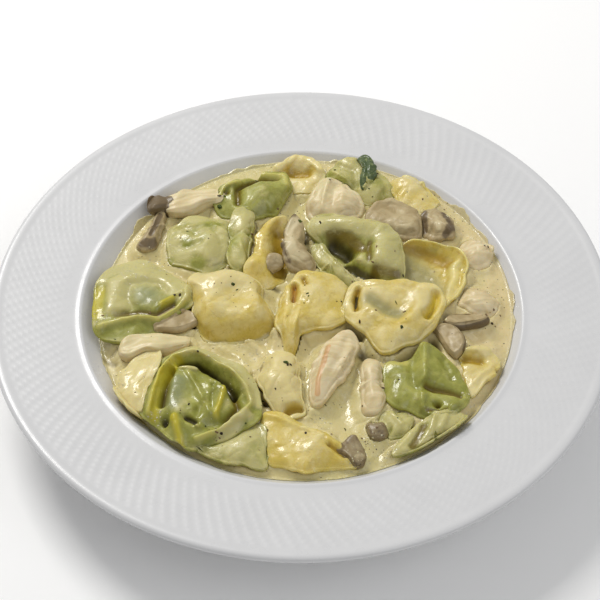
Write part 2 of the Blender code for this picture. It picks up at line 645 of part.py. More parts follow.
              (36, -80, 30.5), (41, -79, 30.5), (48, -75, 31), (57, -70, 31.5)),
        strokes=(Stroke(((43, -67), (38, -76)), 1.3, 0.8), Stroke(((47, -67), (43, -75)), 2, -1),
                 Stroke(((57, -62), (54, -69)), 1.3, 0.8)))),
    Piece("tortellino_egg_08", EGG, Parcel(
        crown=(73, -35, 31), boxy=2.4, under=5,
        edge=((81, -30, 31), (79, -37, 31), (75, -43, 31), (69, -49, 30.5), (66, -43, 30), (65, -35, 30),
              (64, -27, 30.5), (70, -24, 31), (77, -25, 31)),
        strokes=(Stroke(((67, -30), (73, -31)), 2.2, -2.2), Stroke(((66, -26), (77, -27)), 1.4, 0.8),
                 Stroke(((70, -42), (78, -34)), 1.4, 0.8)), around=10, rings=6)),
    Piece("tortellino_spinach_07", SPINACH, Parcel(
        crown=(12, 20, 33), boxy=2.4, under=6,
        edge=((27, 9, 31), (22, 14, 31), (16, 20, 31.5), (13, 27, 32), (10, 33, 32.5), (6, 34, 31),
              (4, 29, 30), (6, 22, 30), (10, 16, 30), (15, 11, 30), (22, 8, 30)),
        strokes=(Stroke(((9, 31), (14, 19)), 1.3, 0.9), Stroke(((12, 28), (19, 15)), 1.2, -0.9)),
        around=10, rings=6)),
    Piece("chicken_05", CHICKEN, Parcel(
        crown=(29, -45, 34.5), boxy=2.4, dough=4, under=6,
        edge=((33.5, -42, 32), (32, -32, 32), (26, -31, 32), (23.5, -42, 32), (23, -51, 31.5),
              (25, -58, 31), (31, -58, 31), (33.5, -51, 31.5)), around=10, rings=6)),
    Piece("tortellino_egg_09", EGG, Parcel(
        crown=(-8, -43, 36.5), boxy=2.6,
        edge=((0.5, -41, 33), (-2, -33, 33.5), (-8, -29.5, 34), (-15, -31, 33), (-17, -38, 32),
              (-18, -43, 32), (-15, -50, 32), (-11, -58, 31), (-5, -62, 30.5), (1, -59, 31), (1, -51, 32)),
        strokes=(Stroke(((-6, -58.5), (-1, -57.5)), 1.8, -3),))),
    Piece("tortellino_egg_10", EGG, Parcel(
        crown=(0, -73, 32), boxy=3, under=6,
        edge=((24, -82, 28.5), (23, -78, 29), (13, -71, 30.5), (6, -66, 31), (-3, -62, 31.5), (-9, -59, 31.5),
              (-15, -58, 31), (-17, -66, 30), (-14, -76, 29.5), (-11, -83, 29), (0, -85, 29), (13, -84, 28.5)),
        strokes=(Stroke(((-14, -60), (-5, -64), (6, -68), (15, -75)), 1.3, 0.9),
                 Stroke(((11, -75), (17, -79)), 0.9, -1.8)))),
    Piece("tortellino_spinach_10", SPINACH, Parcel(
        crown=(-43, -50, 35), boxy=4, around=16, rings=9,
        edge=((-17, -50, 33), (-22, -40, 33.5), (-30, -32, 33.5), (-40, -27, 33.5), (-50, -28, 33.5),
              (-57, -32, 33), (-61, -40, 33), (-63, -50, 32), (-64, -58, 31), (-57, -66, 30.5),
              (-49, -73, 30.5), (-40, -75, 30.5), (-30, -71, 31), (-20, -66, 31.5), (-15, -58, 32)),
        strokes=(Stroke(((-62, -58), (-60, -48), (-56, -38), (-50, -32), (-42, -31), (-35, -35),
                         (-28, -41), (-22, -49), (-18.5, -56), (-21, -63), (-30, -68), (-40, -71)), 1.8, 2.4),
                 Stroke(((-58, -59), (-56, -48), (-52, -38.5), (-46, -35.5), (-37, -38.5), (-30, -45),
                         (-26, -54), (-27, -61), (-35, -66)), 1.7, -5.5),
                 Stroke(((-51, -47), (-43, -42)), 3, 0.8), Stroke(((-36, -47), (-37, -57)), 2.6, 1),
                 Stroke(((-46, -41), (-42, -50), (-41, -59)), 1.1, -1.8),
                 Stroke(((-53, -53), (-44, -55)), 1.2, -1.2), Stroke(((-33, -44), (-33, -56)), 1, -1.2),
                 Stroke(((-49, -63), (-48, -72)), 1.5, 2.4),
                 Stroke(((-54, -62),), 2, -3), Stroke(((-43, -65), (-37, -67)), 1.4, -2),
                 Stroke(((-46, -61),), 1.4, -2.6)))),
    Piece("tortellino_egg_11", EGG, Parcel(
        crown=(-67, -45, 32.5), boxy=2.6, under=6,
        edge=((-59, -44, 32.5), (-56, -33, 33), (-58, -26, 32), (-65, -27, 31), (-72, -33, 30.5),
              (-76, -41, 30), (-75, -50, 30), (-69, -56, 29.5), (-62, -60, 30)), around=10, rings=6)),
    Piece("tortellino_spinach_11", SPINACH, Parcel(
        crown=(38, -63, 31.5), boxy=2.4, under=5,
        edge=((45, -62, 30), (40, -57, 30.5), (33, -56, 30), (30, -61, 29.5), (32, -67, 29), (37, -71, 29),
              (43, -69, 29.5)),
        strokes=(Stroke(((35, -58), (39, -65)), 1.2, 0.9), Stroke(((32, -60), (35, -67)), 1.2, -0.8)),
        around=10, rings=6)),
    Piece("tortellino_spinach_12", SPINACH, Parcel(
        crown=(-25, -74, 30.5), boxy=2.6, under=5,
        edge=((-12, -76, 28.5), (-13, -67, 29.5), (-18, -63, 30), (-25, -67, 29.5), (-35, -71, 29),
              (-43, -74, 28.5), (-34, -79, 28.5), (-22, -83, 28.5), (-14, -84, 28.5)), around=10, rings=6)),
    Piece("chicken_06", CHICKEN, Chunk(30, 10, 8), (-61, -22, 28.5), heading=8),
    Piece("mushroom_06", MUSHROOM, Slice(20, "cap", 4), (-52, -12, 30), heading=15),
    Piece("chicken_07", CHICKEN, Chunk(29, 12, 9), (-48, 60, 30), heading=20),
    Piece("mushroom_07", MUSHROOM, Parcel(
        crown=(-65, 43, 32), boxy=2.4, dough=3, under=4,
        edge=((-60, 48, 31), (-59, 56, 31.5), (-62, 57, 31.5), (-66, 48, 31), (-71, 38, 30), (-71, 34, 29.5),
              (-63, 34, 29.5), (-61, 40, 30)),
        around=10, rings=6)),
    Piece("mushroom_08", MUSHROOM, Chunk(11, 9, 8), (-62, 57, 31)),
    Piece("mushroom_09", MUSHROOM, Chunk(9, 8, 7), (-12, 22, 31)),
    Piece("mushroom_10", MUSHROOM, Chunk(12, 9, 6), (20, -76, 28.5), heading=-50),
    Piece("mushroom_11", MUSHROOM, Chunk(9, 9, 6), (30, -66, 28.5)),
]


# ---------------------------------------------------------------- putting it together


def measured(built):
    """Whether a bmesh is one closed surface, and its volume."""
    closed = bool(built.faces) and all(len(edge.link_faces) == 2 for edge in built.edges)
    return closed, built.calc_volume()


def cut_mesh(target, cutter, solver):
    """The target's mesh after a Boolean difference by one of Blender's solvers."""
    cut = target.modifiers.new("cut", "BOOLEAN")
    cut.operation = "DIFFERENCE"
    cut.solver = solver
    cut.object = cutter
    bpy.context.view_layer.update()
    graph = bpy.context.evaluated_depsgraph_get()
    result = bpy.data.meshes.new_from_object(target.evaluated_get(graph))
    target.modifiers.remove(cut)
    return result


def tree_of(item):
    """A search tree of an object's faces."""
    points = [vert.co.copy() for vert in item.data.vertices]
    return BVHTree.FromPolygons(points, [tuple(face.vertices) for face in item.data.polygons])


def grown(item, by):
    """A copy of an object with its surface moved outwards, used as a cutter."""
    built = bmesh.new()
    built.from_mesh(item.data)
    built.normal_update()
    for vert in built.verts:
        vert.co += vert.normal * by
    mesh = bpy.data.meshes.new("cutter")
    built.to_mesh(mesh)
    built.free()
    made = bpy.data.objects.new("cutter", mesh)
    made.hide_render = True
    made.display_type = "WIRE"
    bpy.context.collection.objects.link(made)
    return made


def split_to_triangles(built):
    """Triangulates a bmesh, fanning out the faces whose diagonals would meet another face's."""
    while True:
        trial = built.copy()
        bmesh.ops.triangulate(trial, faces=trial.faces)
        trial.verts.ensure_lookup_table()
        clashes = [edge for edge in trial.edges if len(edge.link_faces) > 2]
        ends = [tuple(vert.index for vert in edge.verts) for edge in clashes]
        trial.free()
        built.verts.ensure_lookup_table()
        fanned = []
        for one, other in ends:
            both = [face for face in built.verts[one].link_faces if built.verts[other] in face.verts]
            fanned += [face for face in both if len(face.verts) > 3 and face not in fanned][:1]
        if not fanned:
            break
        bmesh.ops.poke(built, faces=fanned)
        built.verts.index_update()
    bmesh.ops.triangulate(built, faces=built.faces)


def largest_body(mesh):
    """A bmesh of the main body in a mesh, without the crumbs that a cut leaves beside it."""
    built = in_order(mesh)
    seen = set()
    islands = []
    for first in built.verts:
        if first in seen:
            continue
        seen.add(first)
        island = [first]
        for vert in island:
            for edge in vert.link_edges:
                other = edge.other_vert(vert)
                if other not in seen:
                    seen.add(other)
                    island.append(other)
        islands.append(island)
    islands.sort(key=reach_of)
    for island in islands[:-1]:
        bmesh.ops.delete(built, geom=island, context="VERTS")
    built.verts.index_update()
    split_to_triangles(built)
    return built


def reach_of(island):
    """The diagonal of the box round a list of vertices."""
    spans = [max(values) - min(values) for values in zip(*(vert.co for vert in island))]
    return math.hypot(*spans)


def carve(upper, lower):
    """Cuts the lower piece back from the upper one, so that a small gap stays between them.

    A cut that leaves the piece open, touching the upper one or mostly eaten away is tried again
    with a slightly wider gap.
    """
    before = largest_body(lower.data)
    _, volume = measured(before)
    before.free()
    keep_clear = tree_of(upper)
    for solver, widening in itertools.product(("EXACT", "MANIFOLD"), (1, 1.2, 1.5)):
        cutter = grown(upper, GAP * widening)
        if not tree_of(cutter).overlap(tree_of(lower)):
            bpy.data.objects.remove(cutter)
            return
        result = cut_mesh(lower, cutter, solver)
        bpy.data.objects.remove(cutter)
        built = largest_body(result)
        closed, left = measured(built)
        touches = BVHTree.FromBMesh(built).overlap(keep_clear)
        if closed and left > volume / 4 and not touches:
            store(built, lower.data)
            return
        built.free()
    raise RuntimeError(f"{lower.name} can't be cut to fit under {upper.name}")


def main():
    """Builds the plate, the heap and the sauce, and cuts the lower pieces to fit the upper ones."""
    for item in list(bpy.data.objects):
        bpy.data.objects.remove(item)
    build_plate()
    placed = []
    for seed, piece in enumerate(HEAP):
        made = piece.add(seed)
        for upper in placed:
            carve(upper, made)
        placed.append(made)
    build_sauce(placed)


main()
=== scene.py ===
"""Dresses a plate of tortellini in cream sauce: glazed porcelain, boiled dough, chicken and mushroom.

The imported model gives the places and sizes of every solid. The pieces made here stand for those
solids with a finer surface: an embossed rim, thin wavy dough, a coat of cream, torn chicken fibres,
cut mushroom flesh, a pool of sauce that clings to the food, froth, pepper and herbs.
Lengths are in metres and +Z is up. Sizes of the food are given in millimetres.
"""

import logging
import math
import random
from dataclasses import dataclass, field
from enum import Enum
from typing import ClassVar

import bmesh
import bpy
import numpy as np
from mathutils import Euler, Matrix, Vector
from mathutils.bvhtree import BVHTree


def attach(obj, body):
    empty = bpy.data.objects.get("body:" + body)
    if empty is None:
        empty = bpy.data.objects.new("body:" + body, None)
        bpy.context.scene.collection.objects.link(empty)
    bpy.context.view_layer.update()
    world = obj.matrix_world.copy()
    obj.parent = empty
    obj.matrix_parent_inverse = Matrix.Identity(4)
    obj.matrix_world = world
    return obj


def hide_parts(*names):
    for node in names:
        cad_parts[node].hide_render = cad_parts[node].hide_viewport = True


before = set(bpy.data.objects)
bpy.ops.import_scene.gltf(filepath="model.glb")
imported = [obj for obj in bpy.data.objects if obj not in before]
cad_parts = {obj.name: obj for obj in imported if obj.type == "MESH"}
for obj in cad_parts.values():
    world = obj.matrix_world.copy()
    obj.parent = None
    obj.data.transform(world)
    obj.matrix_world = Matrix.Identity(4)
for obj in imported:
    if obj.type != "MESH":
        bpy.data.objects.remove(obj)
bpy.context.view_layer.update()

LOG = logging.getLogger("pasta_plate")

MM = 0.001
BODY = "root"
Colour = tuple[float, float, float]
Number = float | np.ndarray


# ---------------------------------------------------------------- small sums


def smoothstep(low: float, high: float, value: Number) -> Number:
    """Eases from 0 at low to 1 at high."""
    t = np.clip((value - low) / (high - low), 0.0, 1.0)
    return t * t * (3 - 2 * t)


def bell(distance: Number, width: float) -> Number:
    """A smooth hump of height 1 at a distance of 0."""
    return np.exp(-((distance / width) ** 2))


def crossed_waves(points: np.ndarray, seed: float) -> np.ndarray:
    """Offsets that look random but repeat exactly, from crossed waves of uneven length.

    Args:
        points: where to read them, a row for each, in units of the dents' size.
        seed: shifts the waves, so that no two pieces are alike.

    Returns:
        A row for each point, of about 1 in each direction.
    """
    x, y, z = points.T
    first = (1.7 * y + 2.3 * z + 1.3 * seed, 1.9 * z + 2.1 * x + 2.1 * seed, 2.2 * x - 1.6 * y + 1.7 * seed)
    second = (3.1 * z - 1.9 * x + 2.9 * seed, 2.9 * x + 1.7 * y + 0.7 * seed, 3.3 * y - 1.3 * z + 3.1 * seed)
    return np.stack([np.sin(one) + 0.6 * np.sin(other) for one, other in zip(first, second)], axis=1)


def patches(points: np.ndarray, seed: float) -> np.ndarray:
    """Smooth uneven values between about -1 and 1, for coats that lie thick here and thin there."""
    waves = crossed_waves(points, seed)
    finer = crossed_waves(points * 2.3, seed + 4)
    return (waves[:, 0] + waves[:, 1] * 0.6 + finer[:, 2] * 0.5) / 2.6


@dataclass(frozen=True)
class Relief:
    """A layer of unevenness: the size of its patches and its height (mm), and a shift of its own."""

    size: float
    height: float
    shift: float

    def swell(self, at: np.ndarray, seed: float) -> np.ndarray:
        """Rises and falls at each place."""
        return patches(at / self.size, seed + self.shift) * self.height

    def crease(self, at: np.ndarray, seed: float) -> np.ndarray:
        """Narrow grooves along the lines where the patches meet."""
        near_line = np.minimum(1.0, np.abs(patches(at / self.size, seed + self.shift)) * 3)
        return (1 - near_line) ** 2 * -self.height


def spots_of(verts: object) -> np.ndarray:
    """The places of points, a row for each."""
    return np.array([vert.co for vert in verts], dtype=float)


def flat_spots(x: np.ndarray, y: np.ndarray) -> np.ndarray:
    """Rows of places at height 0."""
    return np.stack([x, y, np.zeros_like(x)], axis=1)


def through(points: list, share: float) -> tuple[float, ...]:
    """A point on the smooth curve through the given points.

    Args:
        points: the points, evenly spaced along the way.
        share: the share of the way, from 0 to 1.

    Returns:
        The point's coordinates.
    """
    spans = len(points) - 1
    at = min(max(share, 0.0), 1.0) * spans
    k = min(int(at), spans - 1)
    t = at - k
    before, here, after, beyond = (points[min(max(k + j, 0), spans)] for j in (-1, 0, 1, 2))
    return tuple(
        b + t * (c - a) / 2 + t * t * (2 * a - 5 * b + 4 * c - d) / 2 + t**3 * (3 * (b - c) + d - a) / 2
        for a, b, c, d in zip(before, here, after, beyond)
    )


# ---------------------------------------------------------------- finishes


class Wiring:
    """Adds and joins the shader nodes of one material."""

    # Where the Mix node keeps its colour sockets, which share their names with its other sockets.
    COLOUR_A: ClassVar[int] = 6
    COLOUR_B: ClassVar[int] = 7
    COLOUR_OUT: ClassVar[int] = 2

    def __init__(self, name: str) -> None:
        """Starts a material with a bare Principled shader."""
        self.material = bpy.data.materials.new(name)
        self.material.use_nodes = True
        self.tree = self.material.node_tree
        self.shader = self.tree.nodes["Principled BSDF"]
        self.place = self.add("ShaderNodeTexCoord").outputs["Object"]

    def add(self, kind: str, **settings: object) -> bpy.types.Node:
        """Adds a node and sets its options."""
        node = self.tree.nodes.new(kind)
        for key, value in settings.items():
            setattr(node, key, value)
        return node

    def put(self, socket: bpy.types.NodeSocket, value: object) -> None:
        """Links or sets a socket, whichever the value asks for."""
        if isinstance(value, bpy.types.NodeSocket):
            self.tree.links.new(value, socket)
        elif isinstance(value, tuple) and len(value) == 3 and socket.type == "RGBA":
            socket.default_value = (*value, 1)
        else:
            socket.default_value = value

    def set(self, name: str, value: object) -> None:
        """Links or sets one of the shader's own sockets."""
        self.put(self.shader.inputs[name], value)

    def attribute(self, name: str, output: str = "Fac") -> bpy.types.NodeSocket:
        """A value that is stored on the mesh."""
        return self.add("ShaderNodeAttribute", attribute_name=name).outputs[output]

    def noise(
        self, scale: float, detail: float = 3, roughness: float = 0.5, where: object = None, warp: float = 0
    ) -> bpy.types.NodeSocket:
        """Cloudy noise from 0 to 1.

        Args:
            scale: patches to the metre.
            detail: how many finer layers are added.
            roughness: how strong the finer layers are.
            where: the coordinates, the piece's own place if left out.
            warp: how far the patches are pulled about.

        Returns:
            The noise's value.
        """
        node = self.add("ShaderNodeTexNoise")
        self.put(node.inputs["Vector"], where or self.place)
        node.inputs["Scale"].default_value = scale
        node.inputs["Detail"].default_value = detail
        node.inputs["Roughness"].default_value = roughness
        node.inputs["Distortion"].default_value = warp
        return node.outputs["Fac"]

    def cells(self, scale: float) -> bpy.types.NodeSocket:
        """Distance from the nearest of many scattered points."""
        node = self.add("ShaderNodeTexVoronoi")
        self.put(node.inputs["Vector"], self.place)
        node.inputs["Scale"].default_value = scale
        return node.outputs["Distance"]

    def stretched(self, name: str, stretch: Colour) -> bpy.types.NodeSocket:
        """A stored vector scaled along its axes, for a grain that runs one way."""
        node = self.add("ShaderNodeVectorMath", operation="MULTIPLY")
        self.put(node.inputs[0], self.attribute(name, "Vector"))
        node.inputs[1].default_value = stretch
        return node.outputs["Vector"]

    def math(self, operation: str, one: object, other: object = 0.0) -> bpy.types.NodeSocket:
        """Joins two values by an operation and keeps the result from 0 to 1."""
        node = self.add("ShaderNodeMath", operation=operation, use_clamp=True)
        self.put(node.inputs[0], one)
        self.put(node.inputs[1], other)
        return node.outputs["Value"]

    def between(self, value: object, low: float, high: float, start: float = 0, end: float = 1) -> object:
        """Maps a value smoothly from the range low to high onto the range start to end."""
        node = self.add("ShaderNodeMapRange", interpolation_type="SMOOTHSTEP")
        self.put(node.inputs["Value"], value)
        for name, number in (("From Min", low), ("From Max", high), ("To Min", start), ("To Max", end)):
            node.inputs[name].default_value = number
        return node.outputs["Result"]

    def mix(self, factor: object, one: object, other: object) -> bpy.types.NodeSocket:
        """Blends two colours."""
        node = self.add("ShaderNodeMix", data_type="RGBA")
        self.put(node.inputs["Factor"], factor)
        self.put(node.inputs[self.COLOUR_A], one)
        self.put(node.inputs[self.COLOUR_B], other)
        return node.outputs[self.COLOUR_OUT]

    def bump(self, height: object, strength: float, depth: float, after: object = None) -> object:
        """A bumped normal.

        Args:
            height: the height from 0 to 1.
            strength: how much of it shows.
            depth: the height of a full step in metres.
            after: a bumped normal that this one is added to.

        Returns:
            The normal.
        """
        node = self.add("ShaderNodeBump")
        node.inputs["Strength"].default_value = strength
        node.inputs["Distance"].default_value = depth
        self.put(node.inputs["Height"], height)
        if after is not None:
            self.put(node.inputs["Normal"], after)
        return node.outputs["Normal"]

    def flesh(self, weight: float, reach: Colour, scale: float) -> None:
        """Lets light pass a little way into the piece."""
        self.set("Subsurface Weight", weight)
        self.set("Subsurface Radius", reach)
        self.set("Subsurface Scale", scale)

    def film(self, weight: object, roughness: float) -> None:
        """Lays a clear wet film over the piece."""
        self.set("Coat Weight", weight)
        self.set("Coat Roughness", roughness)


@dataclass(frozen=True)
class Porcelain:
    """White glazed porcelain, a little uneven in its gloss."""

    glaze: Colour = (0.625, 0.627, 0.635)
    shade: Colour = (0.575, 0.577, 0.585)

    def make(self) -> bpy.types.Material:
        """Wires the glaze."""
        kit = Wiring("porcelain_glaze")
        kit.set("Base Color", kit.mix(kit.between(kit.noise(40), 0.4, 0.7, 0, 0.35), self.glaze, self.shade))
        kit.set("Roughness", kit.between(kit.noise(160), 0.3, 0.7, 0.26, 0.38))
        kit.set("Specular IOR Level", 0.42)
        kit.film(0.15, 0.14)
        kit.set("Normal", kit.bump(kit.noise(900, 2), 0.05, 0.0002))
        return kit.material


@dataclass(frozen=True)
class Dough:
    """Boiled filled pasta, part clear and part cloudy, under a thin coat of cream."""

    name: str
    skin: Colour
    pale: Colour
    # A darker, more saturated dough colour taken in shade. The veins use it at random, and the inner tint lays
    # it as painted shade in grooves and inner sides.
    deep: Colour
    # A paler edge colour: partly the thin dough's own colour, partly painted highlight on the rounded edges.
    lip: Colour
    glow: Colour
    pond: Colour
    cream: Colour
    # Painted shade: a near-black colour that the dark tint lays in unlit gaps and holes.
    hole_shade: Colour = (0.045, 0.034, 0.004)
    browned: Colour = (0.42, 0.20, 0.03)

    def make(self) -> bpy.types.Material:
        """Wires the dough: its cloudy skin, painted shade in its deep hollows and unlit gaps, a bright lip
        that is partly painted highlight, and the cream on top.
        """
        kit = Wiring(self.name)
        cloudy = kit.between(kit.noise(150, 4, 0.55, warp=0.4), 0.38, 0.68)
        skin = kit.mix(cloudy, self.skin, self.pale)
        veins = kit.between(kit.noise(420, 4, 0.6, warp=1.2), 0.52, 0.7, 0, 0.35)
        skin = kit.mix(veins, skin, self.deep)
        # Painted shade: the inner tint darkens grooves and inner sides towards the deep colour.
        skin = kit.mix(kit.between(kit.attribute("inner"), 0.2, 0.9), skin, self.deep)
        # Lightens the edges towards the lip colour: partly paler thin dough, partly painted highlight.
        skin = kit.mix(kit.between(kit.attribute("lip"), 0.3, 1.0, 0, 0.85), skin, self.lip)
        skin = kit.mix(kit.between(kit.attribute("glow"), 0.15, 0.9, 0, 0.85), skin, self.glow)
        ragged = kit.math("SUBTRACT", kit.noise(320, 5, 0.6, warp=0.8), 0.5)
        coat = kit.math("ADD", kit.attribute("cream"), kit.math("MULTIPLY", ragged, 0.9))
        coat = kit.between(coat, 0.25, 0.75, 0, 0.92)
        colour = kit.mix(coat, skin, self.cream)
        colour = kit.mix(kit.between(kit.attribute("pond"), 0.1, 1.0, 0, 0.85), colour, self.pond)
        colour = kit.mix(kit.between(kit.attribute("browned"), 0.3, 0.9, 0, 0.8), colour, self.browned)
        # Painted shade: where strokes are tinted dark, the dough turns near black.
        unlit = kit.between(kit.attribute("dark"), 0.25, 0.8, 0, 0.92)
        kit.set("Base Color", kit.mix(unlit, colour, self.hole_shade))
        wet = kit.between(kit.noise(130, 3, warp=0.6), 0.42, 0.62)
        kit.set("Roughness", kit.between(wet, 0, 1, 0.5, 0.3))
        kit.set("Specular IOR Level", 0.42)
        kit.flesh(0.35, (0.9, 0.7, 0.25), 0.006)
        kit.film(kit.between(wet, 0, 1, 0.05, 0.5), 0.13)
        grain = kit.bump(kit.noise(1300, 3, 0.6), 0.25, 0.0002)
        creases = kit.bump(kit.noise(360, 4, 0.6, warp=1.5), 0.4, 0.0005, grain)
        kit.set("Normal", kit.bump(coat, 0.6, 0.0004, creases))
        return kit.material


@dataclass(frozen=True)
class CreamSauce:
    """Thick cream sauce: yellow-green among the pasta, more beige to the right, with fine specks and painted
    shade in its hollows.
    """

    body: Colour = (0.66, 0.56, 0.28)
    green: Colour = (0.60, 0.525, 0.24)
    beige: Colour = (0.66, 0.54, 0.28)
    pale: Colour = (0.72, 0.63, 0.35)
    # Painted shade: the dark colour laid in the hollows between the pieces.
    gap_shade: Colour = (0.10, 0.075, 0.02)
    speck: Colour = (0.12, 0.09, 0.04)

    def make(self) -> bpy.types.Material:
        """Wires the sauce's drifting colour, its specks, the painted shade in its hollows and its wet gloss.
        """
        kit = Wiring("cream_sauce")
        across = kit.add("ShaderNodeSeparateXYZ")
        kit.put(across.inputs["Vector"], kit.place)
        colour = kit.mix(kit.between(kit.noise(28, 2), 0.35, 0.65), self.body, self.green)
        colour = kit.mix(kit.between(across.outputs["X"], 0.02, 0.09), colour, self.beige)
        colour = kit.mix(kit.between(kit.noise(120, 4, 0.6, warp=0.6), 0.5, 0.75, 0, 0.8), colour, self.pale)
        swirl = kit.between(kit.noise(70, 5, 0.6, warp=2.0), 0.48, 0.62, 0, 0.45)
        colour = kit.mix(swirl, colour, self.green)
        # Painted shade: the deep value darkens the sauce in its hollows.
        colour = kit.mix(kit.between(kit.attribute("deep"), 0.15, 0.9, 0, 0.9), colour, self.gap_shade)
        seen = kit.between(kit.noise(55, 1), 0.45, 0.6)
        dots = kit.between(kit.cells(420), 0.16, 0.10)
        colour = kit.mix(kit.math("MULTIPLY", dots, seen), colour, self.speck)
        kit.set("Base Color", colour)
        wet = kit.between(kit.noise(90, 3, warp=0.8), 0.42, 0.62)
        kit.set("Roughness", kit.between(wet, 0, 1, 0.46, 0.24))
        kit.set("Specular IOR Level", 0.42)
        kit.flesh(0.3, (0.9, 0.75, 0.4), 0.004)
        kit.film(kit.between(wet, 0, 1, 0.05, 0.5), 0.1)
        lumps = kit.bump(kit.noise(210, 4, 0.6, warp=1.0), 0.5, 0.0009)
        kit.set("Normal", kit.bump(kit.noise(1100, 3), 0.25, 0.0002, lumps))
        return kit.material


@dataclass(frozen=True)
class FriedChicken:
    """White chicken meat with torn fibres, cream in its folds and a browned edge."""

    meat: Colour = (0.62, 0.50, 0.27)
    fibre: Colour = (0.72, 0.61, 0.38)
    browned: Colour = (0.56, 0.27, 0.09)
    cream: Colour = (0.66, 0.57, 0.31)

    def make(self) -> bpy.types.Material:
        """Wires the fibres along the piece and the browned streaks."""
        kit = Wiring("fried_chicken")
        strands = kit.noise(1.0, 3, 0.5, kit.stretched("local", (70, 420, 300)), 0.6)
        colour = kit.mix(kit.between(strands, 0.35, 0.65), self.meat, self.fibre)
        burnt = kit.math("ADD", kit.attribute("browned"), kit.math("MULTIPLY", strands, 0.5))
        colour = kit.mix(kit.between(burnt, 0.75, 1.1, 0, 0.8), colour, self.browned)
        coat = kit.math("ADD", kit.attribute("cream"), kit.math("SUBTRACT", kit.noise(280, 4), 0.5))
        colour = kit.mix(kit.between(coat, 0.35, 0.8, 0, 0.85), colour, self.cream)
        kit.set("Base Color", colour)
        kit.set("Roughness", kit.between(strands, 0.3, 0.7, 0.38, 0.56))
        kit.set("Specular IOR Level", 0.4)
        kit.flesh(0.2, (1.0, 0.6, 0.3), 0.003)
        kit.film(0.1, 0.18)
        kit.set("Normal", kit.bump(kit.noise(900, 3), 0.2, 0.0002, kit.bump(strands, 0.35, 0.0004)))
        return kit.material


@dataclass(frozen=True)
class FriedMushroom:
    """Sliced mushroom: brown skin round pale flesh, with darker gills."""

    name: str = "fried_mushroom"
    flesh: Colour = (0.46, 0.365, 0.195)
    shade: Colour = (0.34, 0.255, 0.12)
    skin: Colour = (0.15, 0.105, 0.05)
    cream: Colour = (0.60, 0.51, 0.30)

    def make(self) -> bpy.types.Material:
        """Wires the flesh's faint grain, the dark skin and the smears of cream."""
        kit = Wiring(self.name)
        grain = kit.noise(190, 4, 0.55, warp=0.8)
        colour = kit.mix(kit.between(grain, 0.35, 0.7), self.flesh, self.shade)
        skinned = kit.math("ADD", kit.attribute("lip"), kit.math("SUBTRACT", kit.noise(500, 4), 0.5))
        colour = kit.mix(kit.between(skinned, 0.3, 0.8), colour, self.skin)
        coat = kit.math("ADD", kit.attribute("cream"), kit.math("SUBTRACT", kit.noise(300, 4), 0.5))
        colour = kit.mix(kit.between(coat, 0.4, 0.85, 0, 0.85), colour, self.cream)
        kit.set("Base Color", colour)
        kit.set("Roughness", kit.between(grain, 0.3, 0.7, 0.36, 0.58))
        kit.set("Specular IOR Level", 0.4)
        kit.flesh(0.1, (0.8, 0.5, 0.3), 0.002)
        kit.film(0.12, 0.15)
        kit.set("Normal", kit.bump(kit.noise(1000, 3), 0.25, 0.0002, kit.bump(grain, 0.3, 0.0005)))
        return kit.material


@dataclass(frozen=True)
class Seasoning:
    """Ground pepper or chopped herb."""

    name: str
    dark: Colour
    light: Colour

    def make(self) -> bpy.types.Material:
        """Wires a mottled grain."""
        kit = Wiring(self.name)
        kit.set("Base Color", kit.mix(kit.between(kit.noise(900, 3), 0.4, 0.65), self.dark, self.light))
        kit.set("Roughness", kit.between(kit.noise(1200), 0.3, 0.7, 0.5, 0.7))
        kit.set("Specular IOR Level", 0.2)
        kit.set("Normal", kit.bump(kit.noise(2500), 0.4, 0.0001))
        return kit.material


@dataclass(frozen=True)
class Leaf:
    """Wilted spinach: dark green with paler veins."""

    blade: Colour = (0.055, 0.09, 0.02)
    vein: Colour = (0.17, 0.215, 0.06)

    def make(self) -> bpy.types.Material:
        """Wires the blade and its veins."""
        kit = Wiring("wilted_leaf")
        veins = kit.between(kit.noise(260, 4, 0.6, warp=1.5), 0.5, 0.68)
        kit.set("Base Color", kit.mix(veins, self.blade, self.vein))
        kit.set("Roughness", kit.between(kit.noise(300), 0.3, 0.7, 0.3, 0.5))
        kit.film(0.3, 0.15)
        kit.set("Normal", kit.bump(veins, 0.6, 0.0004))
        return kit.material


@dataclass(frozen=True)
class Froth:
    """Fine bubbles of cream, wet and pale."""

    film: Colour = (0.68, 0.61, 0.36)
    shade: Colour = (0.55, 0.49, 0.26)

    def make(self) -> bpy.types.Material:
        """Wires the film."""
        kit = Wiring("cream_froth")
        kit.set("Base Color", kit.mix(kit.between(kit.noise(600), 0.4, 0.6), self.film, self.shade))
        kit.set("Roughness", kit.between(kit.noise(500), 0.3, 0.7, 0.12, 0.25))
        kit.flesh(0.4, (0.9, 0.8, 0.4), 0.002)
        kit.film(0.5, 0.06)
        return kit.material


class Finish(Enum):
    """The finishes of the food."""

    EGG = "egg_dough"
    SPINACH = "spinach_dough"
    LEAF = "leaf"
    CHICKEN = "chicken"
    MUSHROOM = "mushroom"

    @property
    def slot(self) -> str:
        """The record's slot that it stands for: the leaf has the green dough's."""
        return "spinach_dough" if self is Finish.LEAF else self.value


